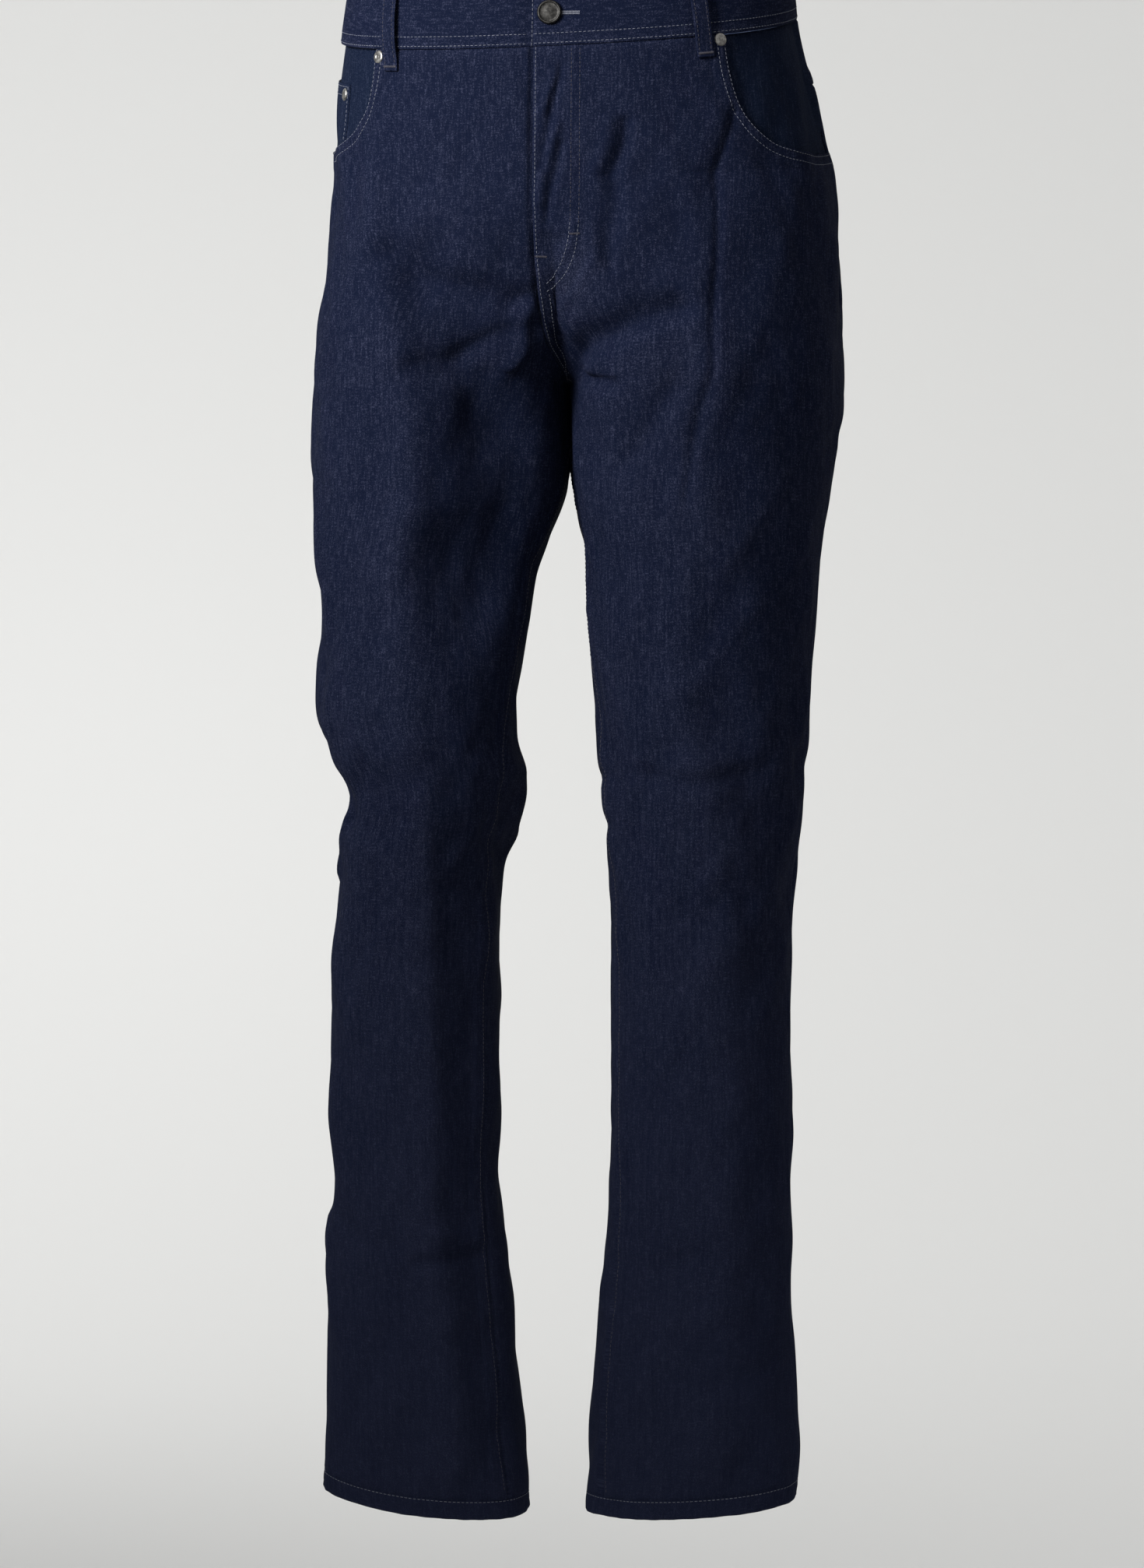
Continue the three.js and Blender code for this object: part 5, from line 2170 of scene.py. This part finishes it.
@dataclass
class Hems(Tailor):
    """The turned-up ends of the legs, folded cloth."""

    wall: float = 2.6
    bulge: float = 0.3

    def hem(self, leg: Leg) -> None:
        """One hem, level with the cloth above it and roped along its fold.

        Args:
            leg: the leg.
        """
        columns = 150
        drop = np.array([0.0, 0.5, 1.4, 3.0, 5.0, 7.0, 9.0, 10.6, 11.8, 12.6, 13.0])
        level = np.array([HEM_TOP])
        seam, inseam = float(FORM.outseam(leg, level)[0]), float(FORM.inner_edge(leg, level)[0])
        t, across = np.meshgrid(seam + 360.0 * np.arange(columns) / columns, drop)
        grid = Grid(*FORM.place(leg, t, HEM_TOP - across), ring=True)
        along = grid.spans(1)
        rope = np.sin((along + across * 0.9) / 2.3 + 1.2 * np.sin(along / 21.0))
        lift = 0.25 * ease(1.0, 5.0, across) + 0.2 * rope * ease(1.0, 7.0, across)
        lift -= 0.75 * ease(11.4, 13.0, across) + 0.12 * (1 - ease(0.0, 0.8, across))
        for angle in (seam, inseam):
            gap = np.abs((t - angle + 180.0) % 360.0 - 180.0) * math.radians(60.0)
            lift += 0.3 * (1 - ease(7.0, 10.0, gap)) - 0.5 * (1 - ease(0.0, 1.6, gap))
        self.keep(f"hem_{leg.name}", grid.raised(lift), beside(13.0 - across, 2.5))

    def make(self) -> None:
        """Makes both hems."""
        for leg in LEGS:
            self.hem(leg)


@dataclass
class Hardware:
    """The waist button and the three rivets, all plain.

    Attributes:
        finishes: the cupboard.
        button: radius of the button.
        rivet: radius of a rivet.
        shifts: millimetres that a piece is set off from its node's middle.
        pieces: what it has made, by the pieces' nodes.
    """

    finishes: Cupboard
    button: float = 8.5
    rivet: float = 4.6
    shifts: dict[str, tuple[float, float, float]] = field(
        default_factory=lambda: {
            "waist_button": (-2.0, 0.0, 0.0),
            "rivet_pocket_left": (0.0, 0.0, 1.8),
        }
    )
    pieces: dict[str, Piece] = field(default_factory=dict)

    def turned(
        self, name: str, steps: Sequence[tuple[float, float]], metal: Metal
    ) -> Piece:
        """A round piece, raised step by step from a disc by insets and moves of its top face.

        Args:
            name: its name.
            steps: radius and height of the disc, then of the top face after each step.
            metal: its finish.

        Returns:
            The piece, standing on the origin along +Z, in millimetres.
        """
        Workbench.clear()
        size, height = steps[0]
        bpy.ops.mesh.primitive_cylinder_add(
            vertices=40, radius=size, depth=height, location=(0, 0, height / 2)
        )
        piece = bpy.context.object
        piece.name = name
        bpy.ops.object.transform_apply(location=True, rotation=True, scale=True)
        bpy.ops.object.mode_set(mode="EDIT")
        for next_size, next_height in steps[1:]:
            Workbench.pick(
                "FACE", lambda at, h=height: abs(at.z - h) < 1e-4 and at.xy.length < 0.01
            )
            bpy.ops.mesh.inset(thickness=max(size - next_size, 0.01), depth=0)
            bpy.ops.transform.translate(value=(0, 0, next_height - height))
            size, height = next_size, next_height
        bpy.ops.object.mode_set(mode="OBJECT")
        bevel = piece.modifiers.new("rounding", "BEVEL")
        bevel.width, bevel.segments = 0.16, 2
        bevel.limit_method = "ANGLE"
        bevel.angle_limit = math.radians(20)
        bpy.ops.object.modifier_apply(modifier="rounding")
        bpy.ops.object.shade_smooth_by_angle(angle=math.radians(40))
        piece.data.materials.clear()
        piece.data.materials.append(self.finishes[metal])
        return piece

    def build(
        self, needle: Needle, hosts: dict[str, Piece]
    ) -> dict[str, Piece]:
        """Makes and places the four metal pieces.

        Args:
            needle: finds where a point comes down on a piece.
            hosts: the pieces that they go through, by the metal pieces' nodes.

        Returns:
            The pieces by their nodes' names.
        """
        r, n = self.button, self.rivet
        rim = ((r, 1.9), (r - 0.35, 2.9), (r - 0.9, 3.35), (r - 1.5, 3.3), (r - 2.0, 2.75))
        cap = (*rim, (r - 3.4, 2.7), (2.2, 3.0), (0.9, 3.05))
        nub = ((n, 0.55), (n - 0.35, 1.1), (n - 1.1, 1.5), (2.0, 1.62), (1.6, 1.35), (0.8, 1.5))
        for node, host in hosts.items():
            steps, metal, sunk = (nub, NICKEL, 0.45) if "rivet" in node else (cap, GUNMETAL, 0.25)
            centre = middle_of(node) + self.shifts.get(node, (0.0, 0.0, 0.0))
            leg = LEFT if centre[0] > -20.0 else RIGHT
            at, normals = FORM.place(leg, np.linspace(0, 100, 400), np.full(400, centre[2]))
            normal = normals[np.linalg.norm(at - centre, axis=1).argmin()]
            landed = needle.drop(host, centre, normal)
            at = landed[0] if landed else centre
            piece = self.turned(f"{node}_metal", steps, metal)
            self.pieces[node] = Workbench.stand(piece, at - normal * sunk, normal)
        return self.pieces


@dataclass
class Seams:
    """Every row of stitches.

    Attributes:
        needle: sews them.
        edge: from a turned edge to its first row, millimetres.
        twin: from an edge to the second row.
        felled: from a felled seam to its two rows.
    """

    needle: Needle
    edge: float = 1.7
    twin: float = 7.6
    felled: tuple[float, float] = (2.4, 8.6)

    @staticmethod
    def along(grid: Grid, axis: int, distance: float, far: bool = True) -> Line:
        """Line at a distance from an edge of a sheet.

        Args:
            grid: the sheet.
            axis: 0 to measure down its columns, 1 to measure along its rows.
            distance: millimetres from the edge.
            far: whether the edge is the last row or column, not the first.

        Returns:
            The line.
        """
        parts = (grid.spans(axis), grid.at, grid.normals())
        length, at, normals = (np.moveaxis(part, axis, 0) for part in parts)
        wanted = length[-1] - distance if far else np.full(length.shape[1], distance)
        k = np.clip((length < wanted).sum(0) - 1, 0, len(length) - 2)
        j = np.arange(len(k))
        f = (wanted - length[k, j]) / (length[k + 1, j] - length[k, j])
        return Line(mix(at[k, j], at[k + 1, j], f[:, None]), normals[k, j])

    def side(self, grid: Grid, distance: float, low: float, high: float) -> Line:
        """Line at a distance from the rows' ends of a panel, between two heights."""
        line = self.along(grid, 1, distance)
        return line.where((line.at[:, 2] > low) & (line.at[:, 2] < high))

    @staticmethod
    def front(points: Sequence[tuple[float, float]]) -> Line:
        """Smooth line on the left front through (x, z) points, which may cross the middle.

        Args:
            points: of the line, from the top down.

        Returns:
            The line.
        """
        table = np.array(points, float)
        rows = np.column_stack([-spans(table), table])
        along = np.linspace(0.0, rows[-1, 0], 160)
        x, z = FORM.column(rows, 1, along), FORM.column(rows, 2, along)
        past = 2 * FORM.section(LEFT, z)[5] - FORM.in_front(RIGHT, -x, z)
        return Line.on(LEFT, np.where(x >= 0, FORM.in_front(LEFT, x, z), past), z)

    def fly(self, body: Body) -> None:
        """Edge of the fly, its curved double row and its bar tacks, and the crotch seam.

        Args:
            body: the panels.
        """
        host, grid = body.pieces["front_left"], body.grids["front_left"]
        sew, tack = self.needle.sew, self.needle.tack
        sew(host, self.side(grid, self.edge, -291.0, -60.0))
        sew(host, self.side(grid, self.twin, -291.0, FLY_CLOSED))
        # places of x and z: where each row turns from straight, and where its turn goes
        inner = ((13.0, -178), (10.2, -198), (3.8, -214), (-6, -226))
        outer = ((18.8, -180), (15.2, -203), (7.2, -220), (-6, -231.5))
        # The straight part of each row takes the dark thread and its turn the pale one: the dark
        # thread there is painted shade.
        for x, turn in ((13.4, inner), (19.2, outer)):
            straight = tuple((x, z) for z in (-40, -90, -140))
            sew(host, self.front((*straight, turn[0])), dull=True)
            sew(host, self.front(turn))
        tack(host, self.front(((12.4, -188), (19.4, -188))), 1.5, True)
        tack(host, self.front(((-12.0, -206), (-4.3, -206))), 1.6, True)
        tack(host, self.front(((-9.0, -284), (1.5, -287))), 1.8, True)

    def mouths(self, body: Body) -> None:
        """Double row along each front pocket's mouth.

        Args:
            body: the panels.
        """
        for leg in LEGS:
            mouth = Line.on(leg, *FORM.scoop(leg, np.linspace(0.0, 1.0, 120)))
            for distance in (self.edge, self.twin):
                self.needle.sew(body.pieces[f"front_{leg.name}"], mouth.aside(-leg.sign * distance))

    def legs(self, body: Body) -> None:
        """Inseams, seat seam and yokes.

        Args:
            body: the panels.
        """
        for leg in LEGS:
            name = leg.name
            inseam = self.side(body.grids[f"front_{name}"], 2.4, -1076.0, -297.0)
            self.needle.sew(body.pieces[f"front_{name}"], inseam, dull=True)
            for distance in self.felled:
                line = self.along(body.grids[f"yoke_{name}"], 0, distance)
                self.needle.sew(body.pieces[f"yoke_{name}"], line)
        for name in ("yoke_left", "back_left"):
            for distance in self.felled:
                line = self.side(body.grids[name], distance, -291.0, 0.0)
                self.needle.sew(body.pieces[name], line)

    def coin(self, pockets: Pockets) -> None:
        """Mouth and front edge of the coin pocket.

        Args:
            pockets: the pockets.
        """
        host = pockets.pieces["coin_pocket"]
        front, back, top = pockets.coin
        t = np.linspace(front - 0.3, back, 40)
        for drop in (1.8, 8.0):
            self.needle.sew(host, Line.on(RIGHT, t, np.full(40, top - drop)))
        z = np.linspace(top - 1.0, top - 42.0, 40)
        side = Line.on(RIGHT, np.full(40, front), z)
        self.needle.sew(host, side.aside(-1.6))

    def back_pockets(self, pockets: Pockets) -> None:
        """Double rows round each back pocket, its mouth and its bar tacks.

        Args:
            pockets: the pockets.
        """
        p = pockets
        for leg in LEGS:
            host = p.pieces[f"back_pocket_{leg.name}"]
            for distance in (self.edge + 0.3, self.twin + 0.4):
                side = distance / p.wide
                foot = 1.0 - distance * 1.1 / p.long
                fall, still = np.linspace(0.008, foot, 80), np.ones(80)
                down = np.concatenate([fall, still * foot, fall[::-1]])
                along = np.linspace(side, 1 - side, 82)[1:-1]
                over = np.concatenate([still * side, along, still * (1 - side)])
                self.needle.sew(host, Line.on(leg, *p.back_at(leg, down, over)))
            for drop in (2.0, 21.0):
                over = np.linspace(0.012, 0.988, 60)
                down = np.full(60, drop / p.long)
                self.needle.sew(host, Line.on(leg, *p.back_at(leg, down, over)))
            for low, high in ((0.004, 0.07), (0.93, 0.996)):
                over = np.linspace(low, high, 12)
                line = Line.on(leg, *p.back_at(leg, np.full(12, 4.5 / p.long), over))
                self.needle.tack(host, line, 2.2)

    def waist(self, waist: Waist) -> None:
        """Band's rows, its end and the buttonhole.

        Args:
            waist: the waistband.
        """
        host, grid = waist.pieces["waistband"], waist.grids["waistband"]
        for distance, far in ((2.3, False), (1.9, True), (8.5, True)):
            line = self.along(grid, 0, distance, far)
            self.needle.sew(host, line.where(spans(line.at) >= 52.0))
        ends = Line(grid.at[:, -1], grid.normals()[:, -2])
        self.needle.sew(host, ends.aside(-2.0))
        button = middle_of("waist_button")
        for shift in (-0.7, 0.7):
            at = button + np.linspace((-4.0, 0.0, shift), (19.0, 0.0, shift), 30)
            line = Line(at, np.tile([0.0, -0.98, 0.2], (30, 1)))
            self.needle.sew(host, line, 0.7, 1.2, 0.6, True)

    def loops(self, loops: Loops) -> None:
        """Two rows down each belt loop and a bar tack at each end.

        Args:
            loops: the belt loops.
        """
        for name, leg, top, end in loops.places:
            host = loops.pieces[f"belt_loop_{name}"]
            v = np.linspace(0.02, 0.98, 60)
            centre = Line.on(leg, mix(top, end, v), mix(loops.top, loops.end, v))
            for share in (-0.33, 0.33):
                line = centre.aside(share * loops.width).lifted(loops.bow)
                self.needle.sew(host, line, dull=True)
            for share in (0.035, 0.955):
                level = np.full(12, mix(loops.top, loops.end, share))
                across = np.linspace(-5.6, 5.6, 12)
                t = FORM.round_to(leg, np.full(12, mix(top, end, share)), across, level)
                self.needle.tack(host, Line.on(leg, t, level).lifted(loops.bow), 1.7, True)

    def hems(self, hems: Hems) -> None:
        """One row round each hem.

        Args:
            hems: the hems.
        """
        for leg in LEGS:
            line = Line.on(leg, np.linspace(-180.0, 180.0, 400), np.full(400, HEM_TOP - 0.9))
            self.needle.sew(hems.pieces[f"hem_{leg.name}"], line)


@dataclass
class Studio:
    """A wide pale bowl of floor and wall, soft lights and the camera.

    Attributes:
        floor: its level in metres.
        radius: of the wall.
        height: of the wall.
        bend: width of the round corner between them.
        eye: the camera's place.
        turn: the camera's turn to its left, in degrees.
        lens: the camera's focal length in millimetres.
    """

    floor: float = -1.45
    radius: float = 9.0
    height: float = 6.5
    bend: float = 4.5
    eye: tuple[float, float, float] = (0.4755, -4.1730, -0.5765)
    turn: float = 6.5
    lens: float = 136.0

    def backdrop(self) -> None:
        """A floor that bends up into a wall all round."""
        Workbench.clear()
        bpy.ops.mesh.primitive_circle_add(
            vertices=96, radius=self.radius, fill_type="NGON", location=(0, 0, self.floor)
        )
        paper = bpy.context.object
        paper.name = "backdrop"
        bpy.ops.object.transform_apply(location=True)
        bpy.ops.object.mode_set(mode="EDIT")
        Workbench.pick("EDGE", lambda at: True)
        bpy.ops.mesh.extrude_edges_move(TRANSFORM_OT_translate={"value": (0, 0, self.height)})
        Workbench.pick("EDGE", lambda at: at.z < self.floor + 0.1)
        bpy.ops.mesh.bevel(offset=self.bend, segments=20, affect="EDGES")
        bpy.ops.object.mode_set(mode="OBJECT")
        bpy.ops.object.shade_smooth()
        s = Shader("paper")
        tone = s.noise(s.solid(900.0), 1.0)
        # The paper is a little darker low down and paler up the wall: painted shade.
        colour = s.blend(s.height().rise(-1.5, 1.5), (0.72, 0.72, 0.712), (0.76, 0.76, 0.752))
        varied = {"Base Color": colour, "Roughness": tone * 0.1 + 0.85}
        paper.data.materials.append(s.finish({"Specular IOR Level": 0.1}, varied))

    @staticmethod
    def lamp(
        name: str,
        at: tuple[float, float, float],
        aim: tuple[float, float, float],
        size: float,
        power: float,
        spread: float = 180.0,
    ) -> None:
        """A square soft light.

        Args:
            name: its name.
            at: its place in metres.
            aim: the point it faces.
            size: of its side.
            power: in watts.
            spread: of its beam in degrees.
        """
        data = bpy.data.lights.new(name, "AREA")
        data.shape = "SQUARE"
        data.size = size
        data.energy = power
        data.spread = math.radians(spread)
        lamp = bpy.data.objects.new(name, data)
        lamp.location = at
        lamp.visible_camera = False
        facing = Vector(aim) - Vector(at)
        lamp.rotation_euler = facing.to_track_quat("-Z", "Y").to_euler()
        bpy.context.scene.collection.objects.link(lamp)

    def lights(self) -> None:
        """Key from the upper left, one behind, one for the wall, and pale surroundings."""
        self.lamp("key", (-1.02, -1.39, 0.42), (0.0, 0.0, 0.0), 0.7, 12.9, 67.0)
        self.lamp("back_light", (-0.2, 2.3, 0.5), (0.0, 0.0, -0.45), 0.5, 10.0, 75.0)
        self.lamp("backdrop_light", (-2.6, 2.0, 4.0), (-1.6, 6.8, -0.4), 1.0, 70.0, 100.0)
        world = bpy.data.worlds.new("studio")
        world.use_nodes = True
        sky = world.node_tree.nodes["Background"].inputs
        sky[0].default_value, sky[1].default_value = (1.0, 1.0, 0.995, 1.0), 0.72
        bpy.context.scene.world = world
        bpy.context.scene.view_settings.view_transform = "Standard"

    def camera(self) -> None:
        """Level view from in front, turned a little to the wearer's left."""
        data = bpy.data.cameras.new("camera")
        data.lens = self.lens
        data.sensor_fit = "VERTICAL"
        data.sensor_height = 36.0
        camera = bpy.data.objects.new("camera", data)
        camera.location = self.eye
        camera.rotation_euler = (math.radians(90.0), 0.0, math.radians(self.turn))
        bpy.context.scene.collection.objects.link(camera)
        bpy.context.scene.camera = camera

    def build(self) -> None:
        """Sets everything up."""
        self.camera()
        self.backdrop()
        self.lights()


# Flat width and length, flat area, how held, what holds it
LOOP_CUT = Cut((0.0135, 0.068), 0.0009, "stretched", ("waistband",))
CUTS: dict[str, Cut] = {
    "front_left": Cut((0.33, 1.07), 0.217, "stretched", ("waistband", "back_left")),
    "front_right": Cut((0.32, 1.07), 0.204, "stretched", ("waistband", "back_right")),
    "back_left": Cut((0.36, 1.01), 0.251, "stretched", ("yoke_left", "front_left")),
    "back_right": Cut((0.36, 1.01), 0.246, "stretched", ("yoke_right", "front_right")),
    "yoke_left": Cut((0.25, 0.078), 0.0145, "stretched", ("waistband",)),
    "yoke_right": Cut((0.25, 0.078), 0.0143, "stretched", ("waistband",)),
    "pocket_facing_left": Cut((0.165, 0.107), 0.0137, "laid", ("front_left",)),
    "pocket_facing_right": Cut((0.15, 0.094), 0.0102, "laid", ("front_right",)),
    "coin_pocket": Cut((0.066, 0.062), 0.0026, "laid", ("pocket_facing_right",)),
    "waistband": Cut((0.955, 0.044), 0.0418, "stretched", ("front_left", "front_right")),
    **{f"belt_loop_{name}": LOOP_CUT for name, *_ in Loops.places},
}
for leg_name in ("left", "right"):
    back, front = f"back_{leg_name}", f"front_{leg_name}"
    CUTS[f"back_pocket_{leg_name}"] = Cut((0.152, 0.172), 0.0245, "laid", (back,))
    CUTS[f"hem_{leg_name}"] = Cut((0.385, 0.0165), 0.0061, "folded", (front, back))


def main() -> None:
    """Builds the jeans and the studio round them."""
    logging.basicConfig(level=logging.INFO, format="%(name)s: %(message)s")
    Studio().build()
    finishes = Cupboard()
    needle = Needle(finishes)
    body, pockets, waist = Body(finishes), Pockets(finishes), Waist(finishes)
    loops, hems = Loops(finishes), Hems(finishes)
    cloth: dict[str, Piece] = {}
    for tailor in (body, pockets, waist, loops, hems):
        cloth.update(tailor.build())
    hosts = {
        "waist_button": cloth["waistband"],
        "rivet_pocket_left": cloth["front_left"],
        "rivet_pocket_right": cloth["front_right"],
        "rivet_coin_pocket": cloth["coin_pocket"],
    }
    metal = Hardware(finishes).build(needle, hosts)
    seams = Seams(needle)
    seams.fly(body)
    seams.mouths(body)
    seams.legs(body)
    seams.coin(pockets)
    seams.back_pockets(pockets)
    seams.waist(waist)
    seams.loops(loops)
    seams.hems(hems)
    threads = needle.finish()
    for node, piece in {**cloth, **metal}.items():
        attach(piece, BODY)
        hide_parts(node)
        log.info("%s: %d faces", piece.name, len(piece.data.polygons))
    for node, piece in cloth.items():
        sewn = [threads[piece.name]] if piece.name in threads else []
        for thread in sewn:
            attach(thread, BODY)
        cut = CUTS[node]
        rests = [cloth[name].name for name in cut.rests_on]


if __name__ == "__main__":
    main()
